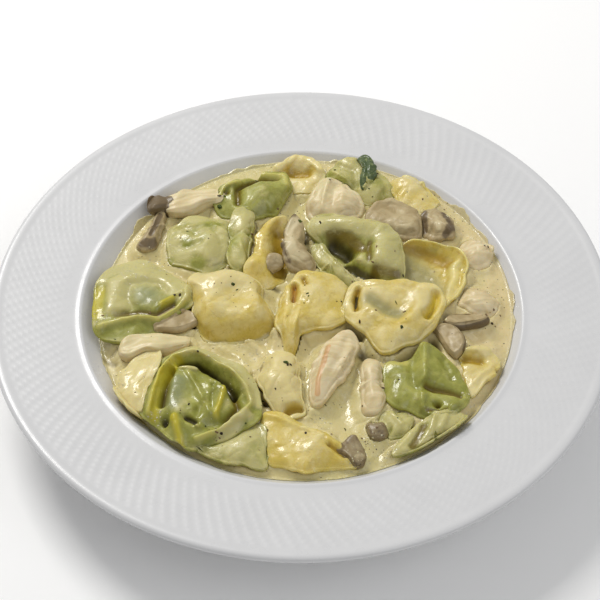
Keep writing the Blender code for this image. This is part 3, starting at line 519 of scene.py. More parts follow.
# In each dough, deep is a colour taken in shade that the inner tint lays as painted shade, hole_shade is
# painted shade for unlit gaps, and lip is partly painted highlight.
FINISHES = {
    Finish.EGG: Dough(
        "egg_pasta",
        skin=(0.60, 0.46, 0.09),
        pale=(0.70, 0.57, 0.20),
        deep=(0.40, 0.26, 0.018),
        lip=(0.74, 0.63, 0.26),
        glow=(0.60, 0.45, 0.03),
        pond=(0.30, 0.275, 0.115),
        cream=(0.68, 0.58, 0.27),
    ),
    Finish.SPINACH: Dough(
        "spinach_pasta",
        skin=(0.26, 0.265, 0.04),
        pale=(0.39, 0.385, 0.09),
        deep=(0.17, 0.125, 0.006),
        lip=(0.52, 0.48, 0.13),
        glow=(0.48, 0.41, 0.02),
        pond=(0.26, 0.28, 0.125),
        cream=(0.53, 0.48, 0.20),
    ),
    Finish.LEAF: Leaf(),
    Finish.CHICKEN: FriedChicken(),
    Finish.MUSHROOM: FriedMushroom(),
}


# ---------------------------------------------------------------- shapes of the food


# What a stroke can tint: a bright lip (on dough partly painted highlight, on mushroom its skin), a deep inner
# side (painted shade), a browned crack, sauce in a hollow, an unlit gap (painted shade), clear bright dough, a
# thick coat of cream, or a bare place that the cream leaves out.
TINTS = ("lip", "inner", "browned", "pond", "dark", "glow", "milky", "bare")


class Marks:
    """The values that a shape stores on its points for the finishes to read."""

    def __init__(self, built: bmesh.types.BMesh) -> None:
        """Adds the layers to a bmesh."""
        layers = built.verts.layers
        self.tints = {name: layers.float.new(name) for name in TINTS}
        self.cream = layers.float.new("cream")
        self.local = layers.float_vector.new("local")


@dataclass(frozen=True)
class Shape:
    """A rounded form wrapped on a sphere's rings; its kinds say where each point goes."""

    # The size and depth (mm) of its large dents.
    dents: ClassVar[tuple[float, float]] = (9, 0.6)
    around: int = field(default=64, kw_only=True)
    rings: int = field(default=48, kw_only=True)

    def put(self, vert: bmesh.types.BMVert, marks: Marks, seed: float) -> Vector:
        """The place of a sphere's point on the shape, in mm."""
        raise NotImplementedError

    def build(self, seed: float) -> tuple[bmesh.types.BMesh, Marks]:
        """Wraps the shape on a sphere and stores each point's place.

        Args:
            seed: makes this piece's dents its own.

        Returns:
            The mesh and its stored values.
        """
        built = bmesh.new()
        bmesh.ops.create_uvsphere(built, u_segments=self.around, v_segments=self.rings, radius=1)
        marks = Marks(built)
        for vert in built.verts:
            vert.co = self.put(vert, marks, seed) * MM
        for vert in built.verts:
            vert[marks.local] = vert.co
        return built, marks


@dataclass(frozen=True)
class Chunk(Shape):
    """A piece of chicken or a lump of mushroom: a rounded block, slimmer towards +X by taper."""

    dents: ClassVar[tuple[float, float]] = (6, 0.6)
    length: float = 24
    width: float = 12
    thick: float = 9
    square: float = 2.8
    taper: float = 0.2
    skin: float = 0.0
    lumps: float = 0.06
    fibres: float = 0.015

    def put(self, vert: bmesh.types.BMVert, marks: Marks, seed: float) -> Vector:
        """Squares the sphere up, tapers it and scores it along its fibres."""
        along, across, up = (
            math.copysign(abs(part) ** (2 / self.square), part) for part in (vert.co.z, vert.co.x, vert.co.y)
        )
        slim = 1 - self.taper * along
        turn = math.atan2(vert.co.y, vert.co.x)
        torn = 1 + self.lumps * math.sin(3 * turn + 3 * seed + 2.6 * along)
        torn += self.fibres * math.sin(13 * turn + seed)
        vert[marks.tints["lip"]] = self.skin
        return Vector(
            (
                along * self.length / 2,
                across * slim * torn * self.width / 2,
                up * slim * torn * self.thick / 2,
            )
        )


class Cut(Enum):
    """The ways a mushroom slice comes out of the cap."""

    CAP = "cap"
    STRIP = "strip"


@dataclass(frozen=True)
class Slice(Shape):
    """A slice of mushroom of an even thickness, with skin on its outer edge."""

    dents: ClassVar[tuple[float, float]] = (8, 0.4)
    size: float = 24
    kind: Cut = Cut.CAP
    thick: float = 4

    def outline(self) -> list:
        """The cut edge in the slice's own plane, anticlockwise."""
        size = self.size
        if self.kind is Cut.STRIP:
            turns = [2 * math.pi * k / 32 for k in range(32)]
            return [(math.cos(a) * size / 2, math.sin(a) * size * 0.18) for a in turns]
        crown = [math.radians(-10 + 200 * k / 32) for k in range(33)]
        points = [(math.cos(a) * size / 2, math.sin(a) * size * 0.42) for a in crown]
        return points + [(-size * 0.12, -size * 0.14), (size * 0.12, -size * 0.14)]

    def reach(self, edge: list, middle: tuple, bearing: float) -> float:
        """Distance from the middle to the cut edge on a bearing."""
        dx, dy = math.cos(bearing), math.sin(bearing)
        best = 0.0
        for (ax, ay), (bx, by) in zip(edge, edge[1:] + edge[:1]):
            ex, ey = bx - ax, by - ay
            cross = dx * ey - dy * ex
            if abs(cross) < 1e-9:
                continue
            px, py = ax - middle[0], ay - middle[1]
            far = (px * ey - py * ex) / cross
            along = (px * dy - py * dx) / cross
            if far > 0 and -1e-6 <= along <= 1 + 1e-6:
                best = max(best, far)
        return best

    def put(self, vert: bmesh.types.BMVert, marks: Marks, seed: float) -> Vector:
        """Flattens the sphere into a slab with the slice's outline."""
        middle = (0, 0 if self.kind is Cut.STRIP else self.size * 0.2)
        bearing = math.atan2(vert.co.y, vert.co.x)
        share = math.acos(max(-1, min(1, vert.co.z))) / math.pi
        reach = self.reach(self.outline(), middle, bearing)
        half = self.thick / 2
        soft = min(1.2, half * 0.6)
        top = [(0, half), (reach * 0.4, half), (reach * 0.75, half), (reach - soft, half), (reach, half * 0.4)]
        radius, height = through(top + [(radius, -height) for radius, height in reversed(top)], share)
        on_crown = 1 if self.kind is Cut.STRIP else smoothstep(-0.3, 0.1, math.sin(bearing))
        vert[marks.tints["lip"]] = smoothstep(0.86, 0.99, radius / reach) * on_crown
        x = middle[0] + radius * math.cos(bearing)
        y = middle[1] + radius * math.sin(bearing)
        return Vector((x, y, height))


@dataclass(frozen=True)
class Stroke:
    """A ridge, groove or dent along a line on a parcel's top (mm), which may tint it too.

    Lift is its height, below 0 for a groove. Width is how far it spreads to each side.
    """

    path: tuple
    width: float
    lift: float = 0
    tint: str = ""

    def reach(self, x: np.ndarray, y: np.ndarray) -> np.ndarray:
        """How strongly it acts at each place, from 0 to 1."""
        nearest = np.full(np.shape(x), np.inf)
        for (ax, ay), (bx, by) in zip(self.path, self.path[1:] or self.path):
            dx, dy = bx - ax, by - ay
            long = dx * dx + dy * dy
            t = np.clip(((x - ax) * dx + (y - ay) * dy) / long, 0.0, 1.0) if long else 0.0
            nearest = np.minimum(nearest, (x - ax - dx * t) ** 2 + (y - ay - dy * t) ** 2)
        return np.exp(-nearest / self.width**2)


# A parcel's rings of points: the share of the way from top to bottom that makes its top, and the
# share that turns round its edge. Between two points of its edge lie this many steps.
TOP_SHARE = 0.62
LIP_SHARE = 0.12
EDGE_STEPS = 12


@dataclass(frozen=True)
class Parcel(Shape):
    """A piece sculpted from above: its edge as places (x, y, z) in mm round its crown, and strokes.

    The top runs from the crown to the edge, flat for longer the boxier it is. The edge is as thick
    as the dough, and the belly hangs from it by under.
    """

    crown: tuple
    edge: tuple
    strokes: tuple = ()
    boxy: float = 3
    dough: float = 2.0
    under: float = 10
    ruffle: float = 0.35
    # How strongly the edge takes the lip tint: on dough a pale edge that is partly painted highlight, on
    # mushroom its brown skin.
    lip: float = 0.3
    around: int = field(default=128, kw_only=True)
    rings: int = field(default=72, kw_only=True)

    def edge_table(self) -> np.ndarray:
        """The edge as bearing, reach and height from the crown, in order of bearing."""
        points = list(self.edge)
        count = len(points)
        rows = []
        for k in range(count):
            span = [points[(k + j) % count] for j in (-1, 0, 1, 2)]
            for step in range(EDGE_STEPS):
                x, y, z = through(span, (1 + step / EDGE_STEPS) / 3)
                x, y = x - self.crown[0], y - self.crown[1]
                rows.append((math.atan2(y, x), math.hypot(x, y), z))
        rows.sort()
        first, last = rows[0], rows[-1]
        rows.insert(0, (last[0] - 2 * math.pi, *last[1:]))
        rows.append((first[0] + 2 * math.pi, *first[1:]))
        return np.array(rows)

    def tint(self, name: str, x: np.ndarray, y: np.ndarray) -> np.ndarray:
        """How strongly the strokes of one tint mark each place."""
        marked = [stroke.reach(x, y) for stroke in self.strokes if stroke.tint == name]
        return np.max([np.zeros_like(x), *marked], axis=0)

    def build(self, seed: float) -> tuple[bmesh.types.BMesh, Marks]:
        """Wraps the top, the edge and the belly on a sphere's rings."""
        built = bmesh.new()
        bmesh.ops.create_uvsphere(built, u_segments=self.around, v_segments=self.rings, radius=1)
        marks = Marks(built)
        ball = spots_of(built.verts)
        table = self.edge_table()
        half = self.dough / 2
        bearing = np.arctan2(ball[:, 1], ball[:, 0])
        share = np.arccos(np.clip(ball[:, 2], -1, 1)) / np.pi
        ruffled = self.ruffle * (np.sin(6 * bearing + seed) + 0.6 * np.sin(11 * bearing + 2.3 * seed))
        reach = np.interp(bearing, table[:, 0], table[:, 1]) - half + ruffled
        edge_z = np.interp(bearing, table[:, 0], table[:, 2])
        t = np.minimum(share / TOP_SHARE, 1)
        turn = np.clip((share - TOP_SHARE) / LIP_SHARE, 0, 1) * np.pi
        back = np.maximum(0, (share - TOP_SHARE - LIP_SHARE) / (1 - TOP_SHARE - LIP_SHARE))
        out = np.minimum(0.5 * t + 0.5 * np.sin(t * np.pi / 2), 1 - back)
        x = self.crown[0] + reach * out * np.cos(bearing)
        y = self.crown[1] + reach * out * np.sin(bearing)
        top = self.crown[2] + (edge_z - self.crown[2]) * out**self.boxy
        top += sum(stroke.lift * stroke.reach(x, y) for stroke in self.strokes)
        hung = edge_z - self.dough - self.under * smoothstep(0.0, 0.6, back)
        z = np.where(back > 0, np.minimum(hung, top - self.dough), top - half + half * np.cos(turn))
        proud = half * np.sin(turn)
        x += proud * np.cos(bearing)
        y += proud * np.sin(bearing)
        tints = {name: self.tint(name, x, y) for name in TINTS}
        # A lip tint round the whole edge: on dough partly painted highlight, on mushroom its skin.
        tints["lip"] = np.maximum(tints["lip"], self.lip * bell((share - TOP_SHARE - 0.02) / 0.05, 1))
        for k, vert in enumerate(built.verts):
            vert.co = Vector((x[k], y[k], z[k])) * MM
            vert[marks.local] = vert.co
            for name, layer in marks.tints.items():
                vert[layer] = tints[name][k]
        return built, marks


# ---------------------------------------------------------------- the plate's and the pool's sizes


@dataclass(frozen=True)
class Well:
    """The plate's sizes, which the sauce and the food share."""

    radius: float = 92 * MM
    edge: float = 30 * MM
    floor_radius: float = 66 * MM
    floor_top: float = 8 * MM
    steepness: float = 1.35

    def wall(self, radius: Number) -> Number:
        """Height of the well's inner surface at a radius: a flat floor, then a wall that rises in an arc."""
        rise = np.clip((radius - self.floor_radius) / (self.radius - self.floor_radius), 0, 1)
        return self.floor_top + (self.edge - self.floor_top) * rise**self.steepness


WELL = Well()


@dataclass(frozen=True)
class Pool:
    """The level of the sauce: lower at the left and front, and mounded under the heap."""

    level: float = 25.5 * MM
    tilt: float = 2 * MM
    tilt_towards: float = math.radians(31)
    saddle: float = 0.6 * MM
    mound: float = 1.5 * MM
    mound_radius: float = 45 * MM
    mound_at: tuple = (12 * MM, 8 * MM)

    def height(self, x: Number, y: Number) -> Number:
        """Height of the sauce's surface away from the food."""
        radius = np.hypot(x, y)
        bearing = np.arctan2(y, x)
        lean = smoothstep(0.3, 1.0, radius / WELL.radius)
        tilt = self.tilt * np.cos(bearing - self.tilt_towards) - self.saddle * np.cos(2 * bearing)
        from_middle = np.hypot(x - self.mound_at[0], y - self.mound_at[1])
        return self.level + tilt * lean + self.mound * bell(from_middle, self.mound_radius)

    def shore(self, bearing: np.ndarray) -> np.ndarray:
        """Radii at which the sauce meets the well's wall on the bearings."""
        low = np.full_like(bearing, WELL.floor_radius)
        high = np.full_like(bearing, WELL.radius)
        for _ in range(24):
            middle = (low + high) / 2
            dry = WELL.wall(middle) >= self.height(middle * np.cos(bearing), middle * np.sin(bearing))
            low, high = np.where(dry, low, middle), np.where(dry, middle, high)
        return low


POOL = Pool()


def keep(name: str, built: bmesh.types.BMesh, dressing: bpy.types.Material) -> bpy.types.Object:
    """Turns a finished bmesh into a piece of the dressed model.

    Args:
        name: the piece's name.
        built: its mesh, which is used up.
        dressing: its material.

    Returns:
        The new object, riding on the plate.
    """
    mesh = bpy.data.meshes.new(name)
    bmesh.ops.recalc_face_normals(built, faces=built.faces)
    built.to_mesh(mesh)
    built.free()
    mesh.shade_smooth()
    mesh.materials.append(dressing)
    made = bpy.data.objects.new(name, mesh)
    bpy.context.collection.objects.link(made)
    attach(made, BODY)
    LOG.info("%s: %d faces", name, len(mesh.polygons))
    return made


def tree_of(*items: bpy.types.Object) -> BVHTree:
    """One search tree of the faces of all the objects."""
    points, faces = [], []
    for item in items:
        start = len(points)
        points += [vert.co.copy() for vert in item.data.vertices]
        faces += [tuple(start + k for k in face.vertices) for face in item.data.polygons]
    return BVHTree.FromPolygons(points, faces)


def box_of(verts: object) -> tuple[Vector, Vector]:
    """The lowest and the highest corner of the box round some points."""
    points = [vert.co for vert in verts]
    return (
        Vector([min(point[k] for point in points) for k in range(3)]),
        Vector([max(point[k] for point in points) for k in range(3)]),
    )


# ---------------------------------------------------------------- the heap


SWELLING = Relief(3.8, 0.2, 11)
RIPPLE = Relief(1.6, 0.04, 5)
CREASES = Relief(8, 0.2, 31)

# The gap that keeps two pieces apart, the sauce under a piece, and a piece's least thickness.
GAP = 0.25 * MM
BED = 3.5 * MM
LEAST_THICK = 1.8 * MM


@dataclass(frozen=True)
class Coat:
    """The cream on the food: thick where a piece faces up and near the sauce, thin on its sides."""

    on_sides: float = 0.35
    patchy: float = 0.3
    patch_size: float = 7 * MM
    splashed: float = 0.5
    brushed: float = 0.7
    kept_out: float = 0.8
    thick: float = 0.35 * MM

    def lay(self, built: bmesh.types.BMesh, marks: Marks, cream: float, seed: float) -> None:
        """Stores how much cream lies on each point, and raises the surface by it.

        Args:
            built: the piece, in place.
            marks: its stored values.
            cream: how much cream the piece has, from 0 to 1.
            seed: the piece's own number.
        """
        built.normal_update()
        at = spots_of(built.verts)
        upward = np.array([vert.normal.z for vert in built.verts])
        over = (at[:, 2] - POOL.height(at[:, 0], at[:, 1])) / MM
        value = cream * (self.on_sides + (1 - self.on_sides) * smoothstep(0.2, 0.95, upward))
        value += self.patchy * patches(at / self.patch_size, seed + 21)
        value += self.splashed * (1 - smoothstep(0.4, 2.2, over))
        tints = marks.tints
        hollows = (tints["inner"], tints["dark"], tints["glow"])
        sunk = np.array([max(vert[layer] for layer in hollows) for vert in built.verts])
        strokes = np.array([vert[tints["milky"]] - vert[tints["bare"]] for vert in built.verts])
        value = np.clip(value * (1 - self.kept_out * sunk) + self.brushed * strokes, 0, 1)
        proud = self.thick * smoothstep(0.35, 0.75, value)
        for vert, share, up in zip(built.verts, value, proud):
            vert[marks.cream] = share
            vert.co += vert.normal * float(up)


COAT = Coat()


@dataclass(frozen=True)
class Morsel:
    """One piece of food: its shape, where and how it lies (mm and degrees) and its coat of cream."""

    node: str
    finish: Finish
    shape: Shape
    place: tuple = (0, 0, 0)
    heading: float = 0
    tilt: float = 0
    cream: float = 0.5

    def roughen(self, built: bmesh.types.BMesh, seed: float) -> None:
        """Adds dents: large ones as in the solid, then finer swellings and creases of the skin."""
        size, depth = self.shape.dents
        built.normal_update()
        at = spots_of(built.verts) / MM
        skins = SWELLING.swell(at, seed) + RIPPLE.swell(at, seed) + CREASES.crease(at, seed)
        dents = crossed_waves(at / size, seed) * depth
        for vert, dent, skin in zip(built.verts, dents, skins):
            vert.co += (Vector(dent) + vert.normal * float(skin)) * MM

    def settle(self, built: bmesh.types.BMesh, above: list) -> None:
        """Dents the piece where the well's wall or a piece above it presses on it.

        Args:
            built: the piece, in place.
            above: search trees and boxes of the pieces that lie over it.
        """
        built.normal_update()
        at = spots_of(built.verts)
        floors = WELL.wall(np.hypot(at[:, 0], at[:, 1])) + BED
        for vert, floor in zip(built.verts, floors):
            vert.co.z = max(vert.co.z, floor + (LEAST_THICK if vert.normal.z > 0 else 0))
        low, high = box_of(built.verts)
        for tree, (its_low, its_high) in above:
            if any(low[k] > its_high[k] or high[k] < its_low[k] for k in range(3)):
                continue
            for vert in built.verts:
                if any(not its_low[k] - GAP < vert.co[k] < its_high[k] + GAP for k in range(3)):
                    continue
                spot, normal, _, far = tree.find_nearest(vert.co)
                inside = (vert.co - spot).dot(normal) < 0
                if inside or far < GAP:
                    vert.co = spot + normal * GAP

    def make(self, seed: float, above: list, dressings: dict) -> bpy.types.Object:
        """Builds, places, dents and coats the piece.

        Args:
            seed: the piece's own number.
            above: search trees and boxes of the pieces that lie over it.
            dressings: the material of each finish.

        Returns:
            The finished piece, which stands for its node.
        """
        built, marks = self.shape.build(seed)
        self.roughen(built, seed)
        turn = Euler((math.radians(self.tilt), 0, math.radians(self.heading)), "XYZ")
        move = Matrix.Translation(Vector(self.place) * MM)
        bmesh.ops.transform(built, matrix=move @ turn.to_matrix().to_4x4(), verts=built.verts)
        self.settle(built, above)
        COAT.lay(built, marks, self.cream, seed)
        made = keep(f"dressed_{self.node}", built, dressings[self.finish])
        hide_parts(self.node)
        return made


# Strokes tinted inner or dark paint shade into grooves and gaps. Strokes tinted lip are partly painted
# highlight on dough and brown skin on mushroom.
HEAP = [
    Morsel("tortellino_egg_01", Finish.EGG, Parcel(
        crown=(38, -9, 38.5), boxy=3.5,
        edge=((60, -2, 36), (57, 4, 37), (51, 7, 37.5), (45, 8.5, 37.5), (38, 8, 37), (31, 8.5, 37.5),
              (25, 8, 37), (20, 5, 36), (17, 0, 36), (15.5, -5, 35.5), (16.5, -10, 35), (22, -16, 35),
              (28, -22, 34.5), (32, -29, 33.5), (36, -29.5, 33.5), (43, -26, 34), (50, -22, 34.5),
              (56, -17, 35), (59, -8, 36)),
        strokes=(Stroke(((23.5, 2), (21.6, -3), (22, -8)), 1.3, -3.2, "inner"),
                 Stroke(((22.6, 0), (21.8, -5)), 0.8, -0.8, "dark"),
                 Stroke(((56, -1), (54, -8), (51.5, -13)), 1.7, -3.4, "glow"),
                 Stroke(((27, 4), (38, 4.5), (49, 2.5)), 1.6, -1.1),
                 Stroke(((28, -5), (33, -8), (39, -10)), 4.2, -2, "pond"),
                 Stroke(((26, 0), (27, -10), (33, -16)), 2.2, 0.8),
                 Stroke(((49, 0), (48, -9), (43, -16)), 2.2, 0.9))), cream=0.5),
    Morsel("mushroom_01", Finish.MUSHROOM, Parcel(
        crown=(-2, 30, 37), boxy=3, dough=3.5, under=7,
        edge=((1, 42, 36), (-3, 47, 37), (-6, 41, 36.5), (-7, 34, 36), (-9, 26, 35), (-7, 19, 34),
              (-2, 16, 33), (3, 15, 32), (6, 20, 32), (4, 26, 33), (1.5, 30, 34), (1.5, 36, 35)),
        strokes=(Stroke(((-3, 46), (-6, 36), (-8, 27), (-6, 20)), 1.3, 0.9, "lip"),
                 Stroke(((-3, 41), (-5, 31), (-3, 23)), 2.8, 0, "milky"))), cream=0.35),
    Morsel("tortellino_spinach_01", Finish.SPINACH, Parcel(
        crown=(28, 29, 38), boxy=3.5,
        edge=((44, 25, 34), (43.5, 32, 35), (40, 38, 36), (35, 41.5, 36.5), (28, 43.5, 37), (20, 45.5, 37),
              (12, 47.5, 37), (5, 46, 36), (2, 41, 35), (4, 37, 34), (8, 33, 33), (13, 27, 31.5),
              (18, 21, 31), (24, 16, 31), (30, 12.5, 31.5), (36, 10.5, 31.5), (42, 11, 32), (44, 17, 33)),
        strokes=(Stroke(((14, 32), (20, 27)), 3.6, -9, "dark"),
                 Stroke(((13, 36), (21, 33), (27, 27)), 3.4, -1.5, "inner"),
                 Stroke(((19, 22), (26, 16), (32, 12)), 1.5, -2.6, "dark"),
                 Stroke(((31, 15), (40, 14)), 2.4, -0.6, "inner"),
                 Stroke(((7, 42), (20, 41), (34, 37)), 3.5, 1.5),
                 Stroke(((37, 30), (36, 18)), 4.5, 1, "milky"),
                 Stroke(((6, 40), (18, 40), (30, 37)), 3.5, 0, "milky"),
                 Stroke(((30, 30), (29, 20)), 1.8, -1.2, "inner"))), cream=0.55),
    Morsel("tortellino_egg_02", Finish.EGG, Parcel(
        crown=(-29, -1, 37.5), boxy=5,
        edge=((-10.5, -9, 30), (-12, -3, 31), (-15, 3, 32), (-17, 9, 33), (-22, 13, 33.5), (-30, 15.5, 34),
              (-38, 16.5, 34), (-45, 15, 34), (-49, 9, 34), (-47, 5, 33.5), (-46, 0, 32), (-45.5, -8, 30),
              (-43, -15, 28), (-38, -18, 27), (-30, -19, 27), (-20, -18, 27), (-12, -15, 28)),
        strokes=(Stroke(((-48, 9), (-42, 1), (-37, -9)), 2.5, 0.9),
                 Stroke(((-27, 1), (-25, -5)), 5, -1.3),
                 Stroke(((-16, 5), (-14, -8)), 3, -0.8),
                 Stroke(((-42, -12), (-34, -15), (-20, -14)), 3, 0, "bare"))), cream=0.6),
    Morsel("tortellino_egg_03", Finish.EGG, Parcel(
        crown=(0, -6, 37), boxy=3,
        edge=((21, 3, 34), (18, 9, 34), (12, 13.5, 35), (5, 16, 35), (0, 15, 35), (-3, 11, 35.5),
              (-6, 7, 35.5), (-8.5, 2, 35), (-10, -4, 34), (-11, -10, 33), (-9, -18, 31.5), (-7, -27, 30),
              (-4.5, -30, 28.5), (-2.5, -26, 30), (-1, -20, 32), (2, -17.5, 33), (8, -15.5, 33),
              (14, -14, 33), (20, -11, 33.5)),
        strokes=(Stroke(((-3, 6), (-3.5, -3)), 1.4, -4, "browned"),
                 Stroke(((1.5, 11), (2, 8)), 1.3, -2.5, "inner"),
                 Stroke(((-3.5, -6), (-4.5, -20)), 1.6, -0.9),
                 Stroke(((-7, 3), (-8, -8), (-6, -20)), 2, 0.9),
                 Stroke(((0, -3), (8, -11)), 2.5, -0.7),
                 Stroke(((3, 12), (10, 4)), 3, 0.7))), cream=0.35),
    Morsel("tortellino_egg_04", Finish.EGG, Parcel(
        crown=(54, 16, 28), boxy=7, under=5,
        edge=((72, 20, 33.5), (69, 26.5, 34), (64, 30.5, 34.5), (56, 33.5, 34.5), (48, 35, 34),
              (42, 32, 33), (39, 24, 31.5), (40, 12, 31), (45, 2, 31), (52, -4, 31), (60, -2, 31.5),
              (66, 3, 32), (69.5, 8, 32.5), (71.5, 14, 33)),
        strokes=(Stroke(((66.5, 21), (66, 13), (61, 3)), 2.8, 3, "lip"),
                 Stroke(((43, 31), (52, 30), (59, 27), (64, 23)), 3, -0.4, "inner"),
                 Stroke(((44, 31), (52, 30), (59, 27), (64, 23)), 3, 0, "bare"),
                 Stroke(((67, 19), (62, 9)), 1.2, 0, "bare"),
                 Stroke(((46, 23), (52, 18), (55, 9)), 8.5, 0, "pond"),
                 Stroke(((48, 22), (53, 19), (57, 17)), 1.1, 0.5)), lip=0.9), cream=0.1),
    Morsel("tortellino_egg_05", Finish.EGG, Parcel(
        crown=(-14, 30, 34), boxy=3,
        edge=((-4, 32, 30), (-4, 42, 32), (-7, 48, 35), (-13, 46, 36), (-17, 42, 36), (-20, 35, 35),
              (-21, 27, 34), (-24, 22, 33), (-26, 18, 32), (-24, 14, 31), (-19, 11, 31), (-14, 9, 30),
              (-8, 14, 29), (-5, 22, 29)),
        strokes=(Stroke(((-9, 38), (-10, 20)), 4.2, -4.5, "inner"),
                 Stroke(((-12, 45), (-17, 33), (-18, 26)), 2.2, 1.4),
                 Stroke(((-21, 19),), 4, 2))), cream=0.35),
    Morsel("chicken_01", Finish.CHICKEN, Parcel(
        crown=(15, 58, 38), boxy=3, dough=4, under=7,
        edge=((27, 51, 32), (27, 58, 34), (23, 65, 35), (17, 70, 36), (11, 71, 36), (7, 66, 35.5),
              (3, 59, 34), (2, 51, 32), (9, 46, 32), (19, 46, 32)),
        strokes=(Stroke(((9, 52), (13, 68)), 1.4, 0.9), Stroke(((13, 50), (17, 66)), 1.6, -0.8),
                 Stroke(((18, 50), (20, 63)), 1.5, 0.6))), cream=0.5),
    Morsel("chicken_04", Finish.CHICKEN, Parcel(
        crown=(13, -35, 37), boxy=2.4, dough=4, under=7,
        edge=((22, -33, 34), (23.5, -24, 34.5), (21, -18, 35), (14, -20, 35), (8, -26, 34.5),
              (4.5, -35, 33.5), (2.5, -44, 32), (3, -53, 31), (7, -54, 31.5), (13, -48, 32.5),
              (19, -41, 33.5)),
        strokes=(Stroke(((10, -29), (6, -50)), 1.6, 0.5, "browned"),
                 Stroke(((18, -24), (10, -46)), 1.5, -0.6),
                 Stroke(((20, -28), (14, -44)), 1.3, 0.5))), cream=0.3),
    Morsel("tortellino_spinach_02", Finish.SPINACH, Parcel(
        crown=(-67, 2, 33), boxy=3,
        edge=((-46, -2, 32.5), (-47, 7, 32), (-52, 13, 31), (-58, 20, 31), (-66, 24, 31), (-75, 23, 31),
              (-82, 19, 32), (-87, 11, 33), (-88, 2, 33), (-87, -8, 32.5), (-84, -18, 31.5),
              (-76, -22, 30), (-68, -21, 30), (-60, -17, 30.5), (-52, -10, 31.5)),
        strokes=(Stroke(((-85, 6), (-86, 0), (-85, -8)), 3.2, -1, "glow"),
                 Stroke(((-66, 2),), 7, 2.8, "pond"),
                 Stroke(((-71.5, -4.5), (-74.5, 1), (-72.8, 7.5), (-67, 10.6), (-61, 9.6), (-57.6, 4)),
                        1.9, -1.3),
                 Stroke(((-78, -5), (-78, 6), (-70, 14.5), (-58, 13), (-53, 4)), 4, 0.9, "milky"),
                 Stroke(((-82, 18), (-68, 21), (-54, 16)), 5, 0.2, "milky"),
                 Stroke(((-83, -15), (-75, -11.5), (-67, -10.5), (-59, -11), (-52, -7), (-48.5, 0),
                         (-48, 6)),
                        1.7, 2.6, "lip"),
                 Stroke(((-77, -8), (-67, -6.8), (-60, -7.5), (-54, -3)), 1.6, -1.6, "inner"),
                 Stroke(((-83, -17), (-72, -15), (-62, -13), (-53, -9)), 3, 0, "bare"),
                 Stroke(((-59, -3), (-53, 0.5), (-50, 3)), 1.6, 1.2, "glow")), ruffle=0.3), cream=0.5),
    Morsel("tortellino_spinach_03", Finish.SPINACH, Parcel(
        crown=(-43, 35, 34.5), boxy=2.2,
        edge=((-29, 37, 31), (-32, 47, 31), (-40, 51, 31.5), (-50, 50, 31), (-58, 43, 30), (-60, 33, 29.5),
              (-56, 24, 29.5), (-46, 20, 29.5), (-35, 20, 29.5), (-29, 27, 30)),
        strokes=(Stroke(((-49, 44), (-38, 45), (-32, 38)), 1.4, 0.9),
                 Stroke(((-46, 38), (-38, 40), (-35, 32)), 1.4, -1.1),
                 Stroke(((-50, 33),), 2.6, 0.3, "bare"), Stroke(((-45, 24),), 2.8, -0.3, "bare"),
                 Stroke(((-38, 44),), 3, 0, "bare"),
                 Stroke(((-52, 30), (-44, 33)), 1.6, -0.9))), cream=0.7),
    Morsel("tortellino_spinach_05", Finish.SPINACH, Parcel(
        crown=(-26, 37, 36), boxy=2.4, under=8,
        edge=((-20, 43, 33.5), (-21, 51, 34), (-25, 54, 35), (-30, 52, 35), (-32, 43, 34.5), (-31, 34, 34),
              (-33, 27, 32), (-31, 20, 31), (-25, 18, 31), (-23, 26, 31.5), (-21, 34, 32.5)),
        strokes=(Stroke(((-26, 48), (-26, 40)), 2.6, 0.6, "lip"), Stroke(((-28, 30), (-26, 24)), 2, -1)),
        around=96, rings=56), cream=0.55),
    Morsel("spinach_leaf", Finish.LEAF, Parcel(
        crown=(29, 74, 38.5), boxy=2, dough=1.8, under=1.5,
        edge=((33, 75, 37.5), (30, 82, 38), (25, 82, 37), (27, 75, 37.5), (26, 69, 36.5), (28, 64, 35.5),
              (32, 68, 36.5)),
        strokes=(Stroke(((29, 80), (29, 67)), 0.8, -0.8),), around=64, rings=40), cream=0),
    Morsel("tortellino_spinach_04", Finish.SPINACH, Parcel(
        crown=(-19, 61, 35.5), boxy=2.6,
        edge=((-4, 67, 33), (-8, 74, 34), (-16, 76, 34.5), (-22, 74, 34), (-28, 71, 33.5), (-36, 69, 33),
              (-38, 64, 32), (-38, 56, 31), (-34, 50, 31), (-26, 49, 31), (-16, 51, 31), (-10, 54, 31),
              (-6, 60, 32)),
        strokes=(Stroke(((-18, 62),), 8, 2.2),
                 Stroke(((-27, 57), (-28, 65), (-20, 72), (-12, 71)), 1.8, -3, "inner"),
                 Stroke(((-36, 60), (-35, 66), (-28, 69)), 1.5, 1.6, "lip"),
                 Stroke(((-33, 63),), 1.6, -2, "inner"),
                 Stroke(((-17, 74.5), (-9, 72), (-7, 66)), 1.8, 1.2, "lip"))), cream=0.2),
    Morsel("tortellino_spinach_06", Finish.SPINACH, Parcel(
        crown=(25, 73, 36), boxy=2.6,
        edge=((42, 66, 31), (38, 72, 33), (33, 80, 35), (26, 84, 35.5), (19, 83, 35), (13, 78, 34),
              (11, 70, 32), (17, 66, 33), (22, 66, 33), (26, 60, 31), (34, 58, 30), (40, 60, 30)),
        strokes=(Stroke(((17, 80), (24, 76), (24, 68)), 1.8, -1.4),
                 Stroke(((14, 74), (20, 70)), 1.8, 1), Stroke(((35, 74), (38, 65)), 2.2, -0.9, "lip"))),
        cream=0.6),
    Morsel("tortellino_egg_06", Finish.EGG, Parcel(
        crown=(-1, 76, 31.5), boxy=2.6, under=7,
        edge=((11, 74, 32), (9, 81, 33.5), (3, 86, 34), (-5, 86, 34), (-10, 82, 33.5), (-13, 77, 32),
              (-12, 72, 31), (-7, 68, 30), (1, 66, 30), (8, 67, 31)),
        strokes=(Stroke(((-10, 79), (-3, 84), (4, 83), (8, 77)), 2, 1.4),
